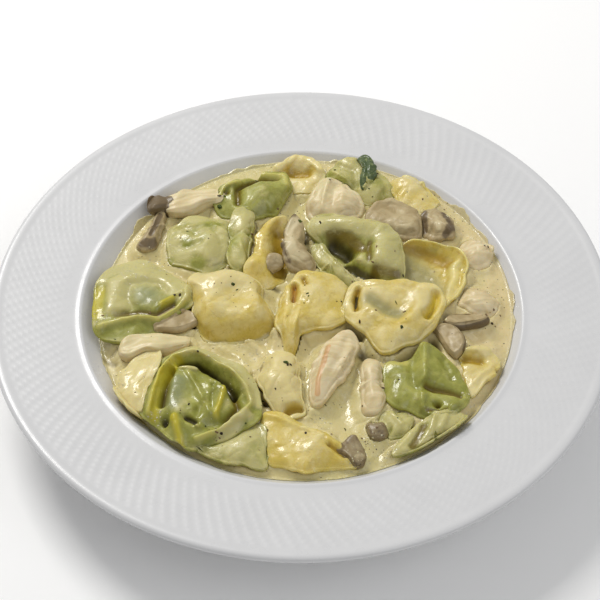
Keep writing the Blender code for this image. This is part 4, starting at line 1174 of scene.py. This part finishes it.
                 Stroke(((-4, 79), (3, 77)), 2.6, -2, "inner"))), cream=0.8),
    Morsel("tortellino_egg_07", Finish.EGG, Parcel(
        crown=(50, 66, 33.5), boxy=2.6, under=7,
        edge=((61, 61, 31), (57, 68, 31), (50, 74, 31.5), (43, 75, 31.5), (40, 71, 31), (41, 64, 31),
              (44, 57, 31), (50, 53, 31), (57, 54, 31)),
        strokes=(Stroke(((46, 70), (54, 62)), 2.5, 0.5),), around=96, rings=48), cream=0.5),
    Morsel("mushroom_02", Finish.MUSHROOM, Parcel(
        crown=(41, 47, 35.5), boxy=4, dough=3.4, under=6,
        edge=((53, 43, 33), (52, 50, 34), (48, 56, 34.5), (41, 58.5, 35), (34, 57, 34.5), (29, 52, 34),
              (27, 46, 33), (33, 40, 32), (42, 36, 32), (51, 37, 32)),
        strokes=(Stroke(((29, 50), (34, 55), (41, 56.5), (47, 54)), 1.1, 0.5),
                 Stroke(((38, 52), (46, 48)), 3.5, -0.8))), cream=0.4),
    Morsel("mushroom_03", Finish.MUSHROOM, Parcel(
        crown=(59, 44, 36.5), boxy=2.2, dough=3.5, under=6,
        edge=((67, 42, 33), (65, 50, 34), (59, 53, 34.5), (53, 51, 34), (51, 45, 33), (53, 38, 32),
              (59, 35, 32), (65, 36, 32)),
        strokes=(Stroke(((63, 50), (65, 42), (62, 37)), 2, 0.3, "lip"),
                 Stroke(((54, 50), (53, 41)), 1.8, 0, "lip"),
                 Stroke(((59, 46), (59, 40)), 2.2, -0.9, "milky")), around=80, rings=48), cream=0.1),
    Morsel("chicken_02", Finish.CHICKEN, Parcel(
        crown=(76, 30, 33), boxy=2.6, dough=3.5, under=5,
        edge=((83, 25, 31), (83, 31, 31), (78, 36, 31), (71, 38, 31), (67, 31, 30.5), (71, 23, 30.5),
              (78, 20, 30.5)),
        strokes=(Stroke(((70, 34), (79, 24)), 1.8, -0.5),), around=80, rings=44), cream=0.25),
    Morsel("chicken_03", Finish.CHICKEN, Parcel(
        crown=(75, 2, 32.5), boxy=2.6, dough=3.5, under=5,
        edge=((83, 0, 30.5), (81, 6, 30.5), (74, 9, 31), (68, 7, 30.5), (66, 0, 30), (71, -5, 30),
              (79, -6, 30)),
        strokes=(Stroke(((69, 2), (79, 3)), 1.6, -0.5),), around=80, rings=44), cream=0.2),
    Morsel("mushroom_04", Finish.MUSHROOM, Slice(20, Cut.STRIP, 5), (68, -11, 31), heading=6, tilt=-12,
           cream=0.15),
    Morsel("mushroom_05", Finish.MUSHROOM, Slice(18, Cut.CAP, 5), (60, -22, 31), heading=-60, tilt=8,
           cream=0),
    Morsel("tortellino_spinach_08", Finish.SPINACH, Parcel(
        crown=(50, -44, 34.5), boxy=2.8,
        edge=((67, -44, 31.5), (63, -36, 32.5), (58, -30, 33.5), (54, -25, 34), (50, -24, 34.5),
              (45, -30, 33.5), (40, -33, 33), (34, -33, 32), (33, -40, 31), (32, -47, 31), (35, -54, 31),
              (41, -58, 31), (48, -61, 31), (55, -62, 31), (62, -59, 31), (67, -52, 31)),
        strokes=(Stroke(((50, -27), (49, -36), (50, -43)), 2.2, 2.2),
                 Stroke(((45, -36), (46, -47)), 2.2, -1.6),
                 Stroke(((51, -46), (57, -48), (63, -51)), 1.5, -2.6, "inner"),
                 Stroke(((54, -54.5),), 1.5, -4, "inner"),
                 Stroke(((49, -51), (48, -57), (54, -60), (61, -56)), 1.6, 1.6),
                 Stroke(((50, -58), (57, -57.5)), 1.1, -1.8, "inner"),
                 Stroke(((35, -35), (42, -34.5)), 2.6, 0.4, "lip"),
                 Stroke(((57, -33), (61, -43)), 1.4, -1.2),
                 Stroke(((38, -42), (37, -52)), 3, 0.9))), cream=0.1),
    Morsel("tortellino_spinach_09", Finish.SPINACH, Parcel(
        crown=(51, -69, 33.5), boxy=2.6, under=4,
        edge=((64, -64, 32), (65, -60, 32), (58, -58, 32.5), (50, -61, 32.5), (43, -66, 32), (38, -73, 31),
              (36, -80, 30.5), (41, -79, 30.5), (48, -75, 31), (57, -70, 31.5)),
        strokes=(Stroke(((43, -67), (38, -76)), 1.3, 0.8, "lip"),
                 Stroke(((47, -67), (43, -75)), 2, -1, "inner"),
                 Stroke(((52, -63), (50, -69)), 1.3, 0.7), Stroke(((57, -62), (54, -69)), 1.3, 0.8))),
        cream=0.8),
    Morsel("tortellino_egg_08", Finish.EGG, Parcel(
        crown=(73, -35, 31), boxy=2.4, under=5,
        edge=((81, -30, 31), (79, -37, 31), (75, -43, 31), (69, -49, 30.5), (66, -43, 30), (65, -35, 30),
              (64, -27, 30.5), (70, -24, 31), (77, -25, 31)),
        strokes=(Stroke(((67, -30), (73, -31)), 2.2, -2.2, "inner"),
                 Stroke(((66, -26), (77, -27)), 1.4, 0.8),
                 Stroke(((70, -42), (78, -34)), 1.4, 0.8)), around=96, rings=48), cream=0.55),
    Morsel("tortellino_spinach_07", Finish.SPINACH, Parcel(
        crown=(12, 20, 33), boxy=2.4, under=6,
        edge=((27, 9, 31), (22, 14, 31), (16, 20, 31.5), (13, 27, 32), (10, 33, 32.5), (6, 34, 31),
              (4, 29, 30), (6, 22, 30), (10, 16, 30), (15, 11, 30), (22, 8, 30)),
        strokes=(Stroke(((9, 31), (14, 19)), 1.3, 0.9), Stroke(((12, 28), (19, 15)), 1.2, -0.9)),
        around=96, rings=56), cream=0.65),
    Morsel("chicken_05", Finish.CHICKEN, Parcel(
        crown=(29, -45, 34.5), boxy=2.4, dough=4, under=6,
        edge=((33.5, -42, 32), (32, -32, 32), (26, -31, 32), (23.5, -42, 32), (23, -51, 31.5),
              (25, -58, 31), (31, -58, 31), (33.5, -51, 31.5)),
        strokes=(Stroke(((29, -36), (28, -52)), 1.2, 0.4),), around=80, rings=44), cream=0.4),
    Morsel("tortellino_egg_09", Finish.EGG, Parcel(
        crown=(-8, -43, 36.5), boxy=2.6,
        edge=((0.5, -41, 33), (-2, -33, 33.5), (-8, -29.5, 34), (-15, -31, 33), (-17, -38, 32),
              (-18, -43, 32), (-15, -50, 32), (-11, -58, 31), (-5, -62, 30.5), (1, -59, 31), (1, -51, 32)),
        strokes=(Stroke(((-6, -58.5), (-1, -57.5)), 1.8, -3, "inner"),
                 Stroke(((-12, -35), (-13, -44)), 2.5, 0.5))), cream=0.95),
    Morsel("tortellino_egg_10", Finish.EGG, Parcel(
        crown=(0, -73, 32), boxy=3, under=6,
        edge=((24, -82, 28.5), (23, -78, 29), (13, -71, 30.5), (6, -66, 31), (-3, -62, 31.5),
              (-9, -59, 31.5), (-15, -58, 31), (-17, -66, 30), (-14, -76, 29.5), (-11, -83, 29),
              (0, -85, 29), (13, -84, 28.5)),
        strokes=(Stroke(((-14, -60), (-5, -64), (6, -68), (15, -75)), 1.3, 0.9),
                 Stroke(((11, -75), (17, -79)), 0.9, -1.8, "inner"),
                 Stroke(((-10, -68), (0, -80)), 3, -0.7))), cream=0.3),
    Morsel("tortellino_spinach_10", Finish.SPINACH, Parcel(
        crown=(-42, -51, 35), boxy=4, around=160, rings=96, ruffle=0.25,
        edge=((-17, -50, 33), (-22, -40, 33.5), (-30, -32, 33.5), (-40, -27, 33.5), (-50, -28, 33.5),
              (-57, -32, 33), (-61, -40, 33), (-64, -50, 32), (-64, -58, 31), (-57, -66, 30.5),
              (-49, -75, 30.5), (-40, -75, 30.5), (-30, -71, 31), (-20, -66, 31.5), (-15, -58, 32)),
        strokes=(Stroke(((-60, -60), (-59.5, -50), (-57, -41), (-52, -33), (-43, -30.5), (-36, -34),
                         (-29, -40), (-23, -48), (-20, -56), (-23, -63), (-31, -68), (-42, -72.5)),
                        1.4, 2.4, "lip"),
                 Stroke(((-58, -61), (-58, -50), (-55, -41), (-50, -34.5)), 2.4, 0, "glow"),
                 Stroke(((-49, -36), (-43, -35), (-37, -38.5), (-31, -44.5), (-27, -51)), 1.8, -6.5, "dark"),
                 Stroke(((-53, -39), (-54.5, -46), (-55, -56)), 1.4, -4.5, "inner"),
                 Stroke(((-27, -52), (-25, -58), (-29, -64)), 1.5, -3, "inner"),
                 Stroke(((-49, -38), (-43, -38.5)), 1.3, 1.5, "milky"),
                 Stroke(((-44, -28), (-31, -33), (-22, -43), (-17, -54)), 3.2, 0, "milky"),
                 Stroke(((-21, -62), (-31, -70)), 2.6, 0, "milky"),
                 Stroke(((-50, -46), (-51, -56)), 4, 1.4, "pond"), Stroke(((-44, -58), (-50, -60)), 3, 0.8),
                 Stroke(((-46, -41), (-42, -50), (-36, -61)), 1.6, 1.6),
                 Stroke(((-40, -46), (-34, -50)), 2, 0.8, "bare"),
                 Stroke(((-39, -55), (-41, -62)), 1.6, -1.2),
                 Stroke(((-31, -50), (-33, -62)), 1.6, 1.8, "glow"),
                 Stroke(((-36, -47), (-35, -57)), 1.2, -1.4, "bare"),
                 Stroke(((-50, -64), (-48.5, -76)), 2.0, 2.4, "glow"),
                 Stroke(((-54, -63.5),), 1.8, -3.4, "dark"),
                 Stroke(((-45.5, -64), (-42, -65.5)), 1.4, -3, "dark"),
                 Stroke(((-41, -67.5),), 1.2, 1.6, "milky"),
                 Stroke(((-37, -66), (-31, -64)), 1.8, -1.5, "bare"))), cream=0.25),
    Morsel("tortellino_egg_11", Finish.EGG, Parcel(
        crown=(-67, -45, 32.5), boxy=2.6, under=6,
        edge=((-59, -44, 32.5), (-56, -33, 33), (-58, -26, 32), (-65, -27, 31), (-72, -33, 30.5),
              (-76, -41, 30), (-75, -50, 30), (-69, -56, 29.5), (-62, -60, 30)),
        strokes=(Stroke(((-64, -34), (-68, -50)), 2.5, 0.5),), around=96, rings=48), cream=0.8),
    Morsel("tortellino_spinach_11", Finish.SPINACH, Parcel(
        crown=(38, -63, 31.5), boxy=2.4, under=5,
        edge=((45, -62, 30), (40, -57, 30.5), (33, -56, 30), (30, -61, 29.5), (32, -67, 29), (37, -71, 29),
              (43, -69, 29.5)),
        strokes=(Stroke(((35, -58), (39, -65)), 1.2, 0.9), Stroke(((32, -60), (35, -67)), 1.2, -0.8)),
        around=72, rings=44), cream=0.75),
    Morsel("tortellino_spinach_12", Finish.SPINACH, Parcel(
        crown=(-25, -74, 30.5), boxy=2.6, under=5,
        edge=((-12, -76, 28.5), (-13, -67, 29.5), (-18, -63, 30), (-25, -67, 29.5), (-35, -71, 29),
              (-43, -74, 28.5), (-34, -79, 28.5), (-22, -83, 28.5), (-14, -84, 28.5)),
        strokes=(Stroke(((-14, -82), (-16, -78)), 1.6, 0.5, "lip"),), around=96, rings=44), cream=0.7),
    Morsel("chicken_06", Finish.CHICKEN, Chunk(30, 10, 8), (-61, -22, 28.5), heading=8, cream=0.6),
    Morsel("mushroom_06", Finish.MUSHROOM, Slice(20, Cut.CAP, 4), (-52, -12, 30), heading=15, cream=0.3),
    Morsel("chicken_07", Finish.CHICKEN, Chunk(29, 12, 9), (-48, 60, 30), heading=20, cream=0.5),
    Morsel("mushroom_07", Finish.MUSHROOM, Parcel(
        crown=(-65, 43, 32), boxy=2.4, dough=3, under=4,
        edge=((-60, 48, 31), (-59, 56, 31.5), (-62, 57, 31.5), (-66, 48, 31), (-71, 38, 30), (-71, 34, 29.5),
              (-63, 34, 29.5), (-61, 40, 30)),
        strokes=(Stroke(((-61, 55), (-69, 37)), 1.2, 0.5), Stroke(((-69, 36), (-64, 36)), 2.4, 0, "lip"),
                 Stroke(((-62, 50), (-66, 40)), 1.6, -0.6, "lip")),
        around=72, rings=40), cream=0.05),
    Morsel("mushroom_08", Finish.MUSHROOM, Chunk(11, 9, 8, skin=1), (-62, 57, 31), cream=0),
    Morsel("mushroom_09", Finish.MUSHROOM, Chunk(9, 8, 7, skin=0.35), (-12, 22, 31), cream=0.5),
    Morsel("mushroom_10", Finish.MUSHROOM, Chunk(12, 9, 6, skin=0.6), (20, -76, 28.5), heading=-50,
           cream=0.4),
    Morsel("mushroom_11", Finish.MUSHROOM, Chunk(9, 9, 6, skin=0.6), (30, -66, 28.5), cream=0.4),
]


@dataclass
class Heap:
    """All the food on the plate, from the pieces on top down to the lowest."""

    morsels: list = field(default_factory=lambda: HEAP)
    made: list = field(default_factory=list)

    def build(self) -> None:
        """Makes the pieces in order, each dented by those above it."""
        dressings = {finish: recipe.make() for finish, recipe in FINISHES.items()}
        above = []
        for seed, morsel in enumerate(self.morsels):
            made = morsel.make(seed, above, dressings)
            above.append((tree_of(made), box_of(made.data.vertices)))
            self.made.append(made)

    def tree(self) -> BVHTree:
        """One search tree of all the food."""
        return tree_of(*self.made)


# ---------------------------------------------------------------- the plate


@dataclass
class Plate:
    """A turned pasta plate with small staggered bumps raised on its rim."""

    radius: float = 130 * MM
    rim_top: float = 34.5 * MM
    wall: float = 4.5 * MM
    foot_outer: float = 64 * MM
    foot_inner: float = 58 * MM
    foot_height: float = 3 * MM
    lip: float = 1.4 * MM
    shoulder: float = 0.6 * MM
    shoulder_width: float = 3 * MM
    crest: float = 0.5 * MM
    bead: float = 0.25 * MM
    wall_steps: int = 9
    rim_steps: int = 44
    well_lip: float = 0.8 * MM
    sides: int = 1120
    bump_pitch: float = 4.6 * MM
    bump_height: float = 0.12 * MM
    bumps_from: float = 100 * MM
    bumps_to: float = 124 * MM
    twist: float = 0.5

    def profile(self) -> list:
        """The turned outline, from the middle of the top round to the middle of the underside."""
        top = [(0, WELL.floor_top), (WELL.floor_radius * 0.5, WELL.floor_top)]
        for k in range(self.wall_steps + 1):
            radius = WELL.floor_radius + (WELL.radius - WELL.floor_radius) * k / self.wall_steps
            top.append((radius, WELL.wall(radius)))
        start, end = WELL.radius + self.well_lip, self.radius - self.lip
        foot_of_rim = WELL.radius + self.shoulder_width
        slope = (self.rim_top - WELL.edge - self.shoulder) / (end - foot_of_rim)
        for k in range(self.rim_steps + 1):
            radius = start + (end - start) * k / self.rim_steps
            rise = WELL.edge + self.shoulder + (radius - foot_of_rim) * slope
            crest = self.crest * bell(radius - WELL.radius - 1 * MM, 1.2 * MM)
            bead = self.bead * bell(radius - self.radius + 3 * MM, 1.5 * MM)
            top.append((radius, rise + crest + bead))
        turns = [math.pi * k / 6 for k in range(1, 6)]
        edge = [
            (end + self.lip * math.sin(a), self.rim_top - self.lip + self.lip * math.cos(a)) for a in turns
        ]
        under = [
            (end, self.rim_top - 3 * MM),
            (WELL.radius + 4 * MM, WELL.edge - self.wall + 0.5 * MM),
        ]
        for k in range(5, -1, -1):
            radius = WELL.floor_radius + (WELL.radius - WELL.floor_radius) * k / 6
            under.append((radius + 3 * MM, WELL.wall(radius) - self.wall))
        foot = [
            (self.foot_outer, 0.8 * MM),
            (self.foot_outer - 0.6 * MM, 0),
            (self.foot_inner + 0.5 * MM, 0),
            (self.foot_inner, 0.5 * MM),
            (self.foot_inner - 1.5 * MM, self.foot_height),
            (0, self.foot_height),
        ]
        return top + edge + under + foot

    def relief(self, built: bmesh.types.BMesh) -> None:
        """Raises the staggered bumps on the rim, in rows that run at a slant."""
        middle = (self.bumps_from + self.bumps_to) / 2
        across = round(2 * math.pi * middle / self.bump_pitch)
        for vert in built.verts:
            radius = math.hypot(*vert.co.xy)
            if not self.bumps_from - 3 * MM < radius < self.bumps_to + 3 * MM or vert.co.z < WELL.edge:
                continue
            bearing = math.atan2(vert.co.y, vert.co.x) + self.twist * (radius - middle) / middle
            rows = 2 * math.pi * (radius - middle) / self.bump_pitch
            wave = math.cos(across * bearing) * math.cos(rows)
            fade = smoothstep(self.bumps_from - 2 * MM, self.bumps_from + 3 * MM, radius)
            fade *= 1 - smoothstep(self.bumps_to - 1 * MM, self.bumps_to + 2 * MM, radius)
            vert.co.z += self.bump_height * fade * smoothstep(-0.3, 0.9, wave)

    def build(self) -> None:
        """Turns the profile, raises the bumps and dresses the plate."""
        built = bmesh.new()
        corners = [built.verts.new((radius, 0, height)) for radius, height in self.profile()]
        edges = [built.edges.new(pair) for pair in zip(corners, corners[1:])]
        bmesh.ops.spin(
            built,
            geom=corners + edges,
            cent=(0, 0, 0),
            axis=(0, 0, 1),
            angle=2 * math.pi,
            steps=self.sides,
            use_merge=True,
        )
        bmesh.ops.remove_doubles(built, verts=built.verts, dist=0.005 * MM)
        self.relief(built)
        made = keep("dressed_plate", built, Porcelain().make())
        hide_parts("plate")


# ---------------------------------------------------------------- the sauce


@dataclass
class Sauce:
    """The pool of sauce: drawn up between the pieces, clinging to them, with slow ripples."""

    cells: int = 290
    drawn_up: float = 2.4 * MM
    blur: float = 4.5 * MM
    cling_share: float = 0.95
    cling_width: float = 3.0 * MM
    cling_most: float = 6 * MM
    clear_of_food: float = 0.3 * MM
    over_the_edge: float = 1.5 * MM
    over_the_floor: float = 0.15 * MM
    calm_shore: float = 6 * MM
    film: float = 1.5 * MM
    film_thick: float = 0.5 * MM
    past_the_shore: float = 0.5 * MM
    looks_from: float = 2 * MM
    ripples: tuple = (Relief(8, 0.45, 3), Relief(2.6, 0.2, 8))
    folds: tuple = (
        Stroke(((-24, -17), (-16, -24), (-14, -30)), 2.2, 1.8),
        Stroke(((-12, -14), (-12, -24), (-7, -30)), 2.0, 1.6),
        Stroke(((-34, -21), (-26, -26), (-20, -34)), 2.0, 1.4),
        Stroke(((-30, -33), (-24, -42), (-22, -50)), 2.0, 1.2),
        Stroke(((2, -60), (10, -66), (14, -74)), 2.0, 1.2),
        Stroke(((4, -56), (12, -62), (20, -70)), 2.4, 0.9),
        Stroke(((26, -30), (25, -22)), 2.0, 1.0),
        Stroke(((66, 12), (72, 16), (80, 14)), 2.2, 0.8),
        Stroke(((80, -8), (76, -14), (80, -22)), 1.8, 0.7),
    )
    # Places where the sauce sinks between the pieces. The same values lay painted shade on it there.
    hollows: tuple = (
        Stroke(((2, 42), (0, 38)), 3.0, 1),
        Stroke(((-32, 18), (-28, 20)), 3.0, 1),
        Stroke(((1, 30), (6, 24)), 3.0, 1),
        Stroke(((-14, -51),), 2.6, 1),
        Stroke(((62, -18), (66, -20)), 2.2, 0.8),
        Stroke(((12.5, 17), (13, 13)), 1.8, 1),
        Stroke(((20, -14), (24, -18)), 2.2, 0.9),
        Stroke(((25, -27), (29, -31)), 2.6, 0.9),
        Stroke(((41, -31), (47, -28)), 2.0, 1),
        Stroke(((54, -20), (56, -24)), 2.0, 1),
        Stroke(((61, -6), (65, -9)), 2.4, 0.7),
        Stroke(((-14, 12), (-10, 10)), 1.6, 0.7),
        Stroke(((-26, 30), (-24, 24)), 1.8, 1),
        Stroke(((-52, -23), (-47, -22)), 1.6, 0.9),
        Stroke(((-17, -41), (-16, -45)), 1.4, 0.7),
        Stroke(((-84, -24), (-77, -28)), 2.0, 0.6),
        Stroke(((-47, -1), (-45, -11)), 1.4, 0.8),
    )
    made: bpy.types.Object | None = None

    def spread(self, values: np.ndarray, reach: int) -> np.ndarray:
        """Blurs a square of values by a bell-shaped kernel that is reach cells wide."""
        steps = np.arange(-3 * reach, 3 * reach + 1)
        kernel = np.exp(-((steps / reach) ** 2))
        kernel /= kernel.sum()
        rows = np.apply_along_axis(lambda row: np.convolve(row, kernel, mode="same"), 0, values)
        return np.apply_along_axis(lambda row: np.convolve(row, kernel, mode="same"), 1, rows)

    def lay(self, built: bmesh.types.BMesh) -> list:
        """Rounds a fine grid to the well at the sauce's level.

        Returns:
            The grid's points, row by row.
        """
        bmesh.ops.create_grid(built, x_segments=self.cells, y_segments=self.cells, size=1)
        count = self.cells + 1
        verts = sorted(built.verts, key=lambda vert: (round(vert.co.y * count), round(vert.co.x * count)))
        x, y, _ = spots_of(verts).T
        across, along = x * np.sqrt(1 - y**2 / 2), y * np.sqrt(1 - x**2 / 2)
        bearing = np.arctan2(along, across)
        ring = flat_spots(6 * np.cos(bearing), 6 * np.sin(bearing))
        lap = patches(ring, 6) + 0.5 * patches(ring * 3.5, 9)
        shore = POOL.shore(bearing) + self.past_the_shore + self.film * np.maximum(-0.2, lap)
        radius = np.hypot(across, along) * shore
        x, y = radius * np.cos(bearing), radius * np.sin(bearing)
        z = np.maximum(POOL.height(x, y), WELL.wall(radius) + self.film_thick)
        for vert, place in zip(verts, np.stack([x, y, z], axis=1)):
            vert.co = place
        return verts

    def climb(self, spots: np.ndarray, start: np.ndarray, food: BVHTree) -> np.ndarray:
        """How far the sauce clings up the nearest food.

        Args:
            spots: places on the level surface.
            start: how far it has been drawn up already.
            food: a search tree of all the food.

        Returns:
            The further rise at each place, in metres.
        """
        found = []
        for (x, y, z), up in zip(spots, start):
            near = food.find_nearest(Vector((x, y, z + up + self.looks_from)))[0]
            away = math.hypot(near.x - x, near.y - y)
            found.append((near.z - z - up, away))
        rise, away = np.array(found).T
        return self.cling_share * np.clip(rise, 0, self.cling_most) * bell(away, self.cling_width)

    def rise(self, spots: np.ndarray, food: BVHTree) -> tuple[np.ndarray, np.ndarray]:
        """How far the sauce stands over its level, and how unlit it is in its hollows.

        Args:
            spots: places on the level surface, row by row of the grid.
            food: a search tree of all the food.

        Returns:
            The rise in metres and the gloom from 0 to 1, for each place.
        """
        x, y = spots[:, 0] / MM, spots[:, 1] / MM
        sky = Vector((0, 0, 1))
        hits = [food.ray_cast(Vector((px, py, WELL.floor_top)), sky)[0] for px, py, _ in spots]
        side = math.isqrt(len(spots))
        step = 2 * WELL.radius / side
        covered = np.array([1.0 if hit else 0.0 for hit in hits]).reshape(side, side)
        crowd = self.spread(covered, round(self.blur / step)).reshape(-1)
        inside = self.spread(covered, 2).reshape(-1)
        hollow = np.max([dent.lift * dent.reach(x, y) for dent in self.hollows], axis=0)
        lift = self.drawn_up * crowd * (1 - hollow)
        lift += self.climb(spots, lift, food) * (1 - hollow)
        lift += sum(ripple.swell(flat_spots(x, y), 0) for ripple in self.ripples) * MM
        lift += sum(fold.lift * fold.reach(x, y) for fold in self.folds) * MM
        edge = 1 - smoothstep(0.7, 0.97, inside)
        under = np.array([hit.z if hit else np.inf for hit in hits]) - self.clear_of_food
        lift = np.minimum(lift, under + self.over_the_edge * edge - spots[:, 2])
        slack = POOL.shore(np.arctan2(y, x)) - np.hypot(x, y) * MM
        return lift * smoothstep(0, self.calm_shore, slack), hollow

    def close(self, built: bmesh.types.BMesh) -> None:
        """Closes the pool with a plain underside that lies on the well."""
        base = bmesh.ops.extrude_face_region(built, geom=list(built.faces))["geom"]
        under = [part for part in base if isinstance(part, bmesh.types.BMVert)]
        for vert in under:
            vert.co.z = WELL.wall(math.hypot(*vert.co.xy)) + self.over_the_floor
        flat = [part for part in base if isinstance(part, bmesh.types.BMEdge) and len(part.link_faces) == 2]
        bmesh.ops.dissolve_limit(built, angle_limit=math.radians(3), edges=flat, verts=under)

    def build(self, food: BVHTree) -> None:
        """Shapes the surface over the grid and closes it underneath.

        Args:
            food: a search tree of all the food.
        """
        built = bmesh.new()
        # How much painted shade the sauce takes in each hollow.
        deep = built.verts.layers.float.new("deep")
        verts = self.lay(built)
        for vert, up, gloom in zip(verts, *self.rise(spots_of(verts), food)):
            vert[deep] = gloom
            vert.co.z += up
        self.close(built)
        self.made = keep("dressed_sauce", built, CreamSauce().make())
        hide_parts("sauce")


# ---------------------------------------------------------------- what is strewn over it


@dataclass
class Strewn:
    """Small things laid on the food and the sauce, joined into one piece for each kind.

    Spots are places (x, y, reach) in mm round which they gather. Loose ones fall anywhere within
    reach_out. Their sizes run from small to large, and the higher the rarity, the fewer are large.
    """

    name: str
    finish: Seasoning | Froth
    slot: str
    spots: tuple
    each: int
    loose: int
    small: float
    large: float
    flat: float
    sunk: float
    jagged: float = 0.0
    sides: int = 7
    rarity: ClassVar[float] = 2.5
    steepest: ClassVar[float] = 0.3
    reach_out: ClassVar[float] = 84

    def places(self, chance: random.Random) -> list:
        """Where they land, in mm."""
        found = [
            (x + chance.gauss(0, reach), y + chance.gauss(0, reach))
            for x, y, reach in self.spots
            for _ in range(self.each)
        ]
        for _ in range(self.loose):
            bearing, out = chance.uniform(0, 2 * math.pi), self.reach_out * math.sqrt(chance.random())
            found.append((out * math.cos(bearing), out * math.sin(bearing)))
        return found

    def build(self, ground: BVHTree) -> None:
        """Drops each one onto the ground and joins them all.

        Args:
            ground: a search tree of the food and the sauce.
        """
        chance = random.Random(self.name)
        joined = bmesh.new()
        for x, y in self.places(chance):
            spot, normal, _, _ = ground.ray_cast(Vector((x * MM, y * MM, 100 * MM)), Vector((0, 0, -1)))
            size = self.small + (self.large - self.small) * chance.random() ** self.rarity
            spin = Matrix.Rotation(chance.uniform(0, 2 * math.pi), 3, "Z")
            long = chance.uniform(1, 1 + self.jagged)
            nicks = [1 + self.jagged * chance.uniform(-0.4, 0.4) for _ in range(self.sides)]
            if not spot or normal.z < self.steepest:
                continue
            made = bmesh.ops.create_uvsphere(joined, u_segments=self.sides, v_segments=5, radius=1)
            squash = Matrix.Diagonal((size * long, size / long, size * self.flat))
            shape = normal.to_track_quat("Z", "Y").to_matrix() @ spin @ squash @ spin
            base = spot - normal * size * self.sunk * MM
            for k, vert in enumerate(made["verts"]):
                vert.co = base + shape @ (vert.co * nicks[k % self.sides]) * MM
        keep(self.name, joined, self.finish.make())


PEPPER = Seasoning("ground_pepper", (0.018, 0.013, 0.008), (0.09, 0.06, 0.03))
HERB = Seasoning("chopped_herb", (0.03, 0.045, 0.006), (0.08, 0.11, 0.02))
CRUMB = Seasoning("browned_crumb", (0.12, 0.07, 0.03), (0.26, 0.17, 0.09))

STREWN = [
    Strewn(
        "pepper", PEPPER, "mushroom",
        spots=((-35, 3, 1), (-43, -15, 1), (-10, -48, 1), (-5, -38, 0.5), (16, -2, 0.6), (44, -28, 1.5),
               (79, 30, 2), (78, -2, 5), (72, -20, 4), (-20, 8, 1), (30, -70, 4), (-50, -62, 3)),
        each=3, loose=50, small=0.12, large=0.7, flat=0.4, sunk=-0.1, jagged=0.5, sides=6,
    ),
    Strewn(
        "chopped_herb", HERB, "spinach_dough",
        spots=((3, -1, 0.8), (-27, 4, 0.8), (28, 60, 3), (40, -56, 3), (-40, 60, 4)),
        each=2, loose=16, small=0.35, large=1.1, flat=0.22, sunk=-0.15, jagged=0.9, sides=7,
    ),
    Strewn(
        "browned_crumbs", CRUMB, "mushroom",
        spots=((27, -74, 3), (80, -6, 4), (-35, -70, 3), (60, 58, 3)),
        each=9, loose=60, small=0.2, large=0.75, flat=0.5, sunk=0.05, jagged=0.6, sides=6,
    ),
    Strewn(
        "cream_froth", Froth(), "sauce",
        spots=((-66, 26, 3.2), (-62, 22, 2.5), (-83, -10, 2.5), (-73, -43, 3), (-76, -36, 2),
               (-58, -62, 2.5),
               (27, -70, 3.5), (33, -77, 3), (20, -80, 3), (-72, 14, 3.5), (-56, 30, 3), (8, -60, 2.5),
               (68, -52, 2), (-18, -26, 4), (66, 52, 3), (-33, -45, 5)),
        each=36, loose=40, small=0.2, large=0.65, flat=0.6, sunk=0.4, sides=10,
    ),
]


# ---------------------------------------------------------------- studio


@dataclass
class Studio:
    """A pale floor, a large soft light from behind on the left, a fill and the camera."""

    look_at: tuple = (-0.67 * MM, -1.5 * MM, 34.5 * MM)
    distance: float = 0.7119
    elevation: float = math.radians(48.355)
    lens: float = 102

    def floor(self) -> None:
        """Lays the floor that the plate stands on."""
        built = bmesh.new()
        bmesh.ops.create_grid(built, x_segments=1, y_segments=1, size=3)
        mesh = bpy.data.meshes.new("floor")
        built.to_mesh(mesh)
        built.free()
        kit = Wiring("floor_paper")
        kit.set("Base Color", (0.93, 0.93, 0.93))
        kit.set("Roughness", 0.9)
        mesh.materials.append(kit.material)
        made = bpy.data.objects.new("floor", mesh)
        bpy.context.collection.objects.link(made)

    def light(self, name: str, place: tuple, size: float, power: float, colour: Colour) -> None:
        """Hangs a square soft light that faces the plate."""
        lamp = bpy.data.lights.new(name, "AREA")
        lamp.size = size
        lamp.energy = power
        lamp.color = colour
        made = bpy.data.objects.new(name, lamp)
        made.location = place
        made.rotation_euler = (Vector(self.look_at) - Vector(place)).to_track_quat("-Z", "Y").to_euler()
        bpy.context.collection.objects.link(made)

    def build(self) -> None:
        """Sets the stage, the lights, the sky and the camera."""
        self.floor()
        self.light("key", (-0.5, 0.7, 1.0), 0.5, 12, (1.0, 0.985, 0.955))
        self.light("fill", (0.7, -0.5, 0.9), 0.9, 3, (0.98, 0.99, 1.0))
        world = bpy.data.worlds.new("soft_sky")
        world.use_nodes = True
        world.node_tree.nodes["Background"].inputs["Color"].default_value = (1, 1, 1, 1)
        world.node_tree.nodes["Background"].inputs["Strength"].default_value = 0.42
        scene = bpy.context.scene
        scene.world = world
        scene.view_settings.view_transform = "Standard"
        camera = bpy.data.cameras.new("camera")
        camera.lens = self.lens
        made = bpy.data.objects.new("camera", camera)
        back = Vector((0, -math.cos(self.elevation), math.sin(self.elevation)))
        made.location = Vector(self.look_at) + back * self.distance
        made.rotation_euler = (-back).to_track_quat("-Z", "Y").to_euler()
        bpy.context.collection.objects.link(made)
        scene.camera = made


def main() -> None:
    """Builds the plate, the food, the sauce and the studio, and notes how large the result is."""
    logging.basicConfig(level=logging.INFO, format="%(name)s %(message)s")
    Plate().build()
    heap = Heap()
    heap.build()
    sauce = Sauce()
    sauce.build(heap.tree())
    ground = tree_of(*heap.made, sauce.made)
    for sort in STREWN:
        sort.build(ground)
    Studio().build()


if __name__ == "__main__":
    main()
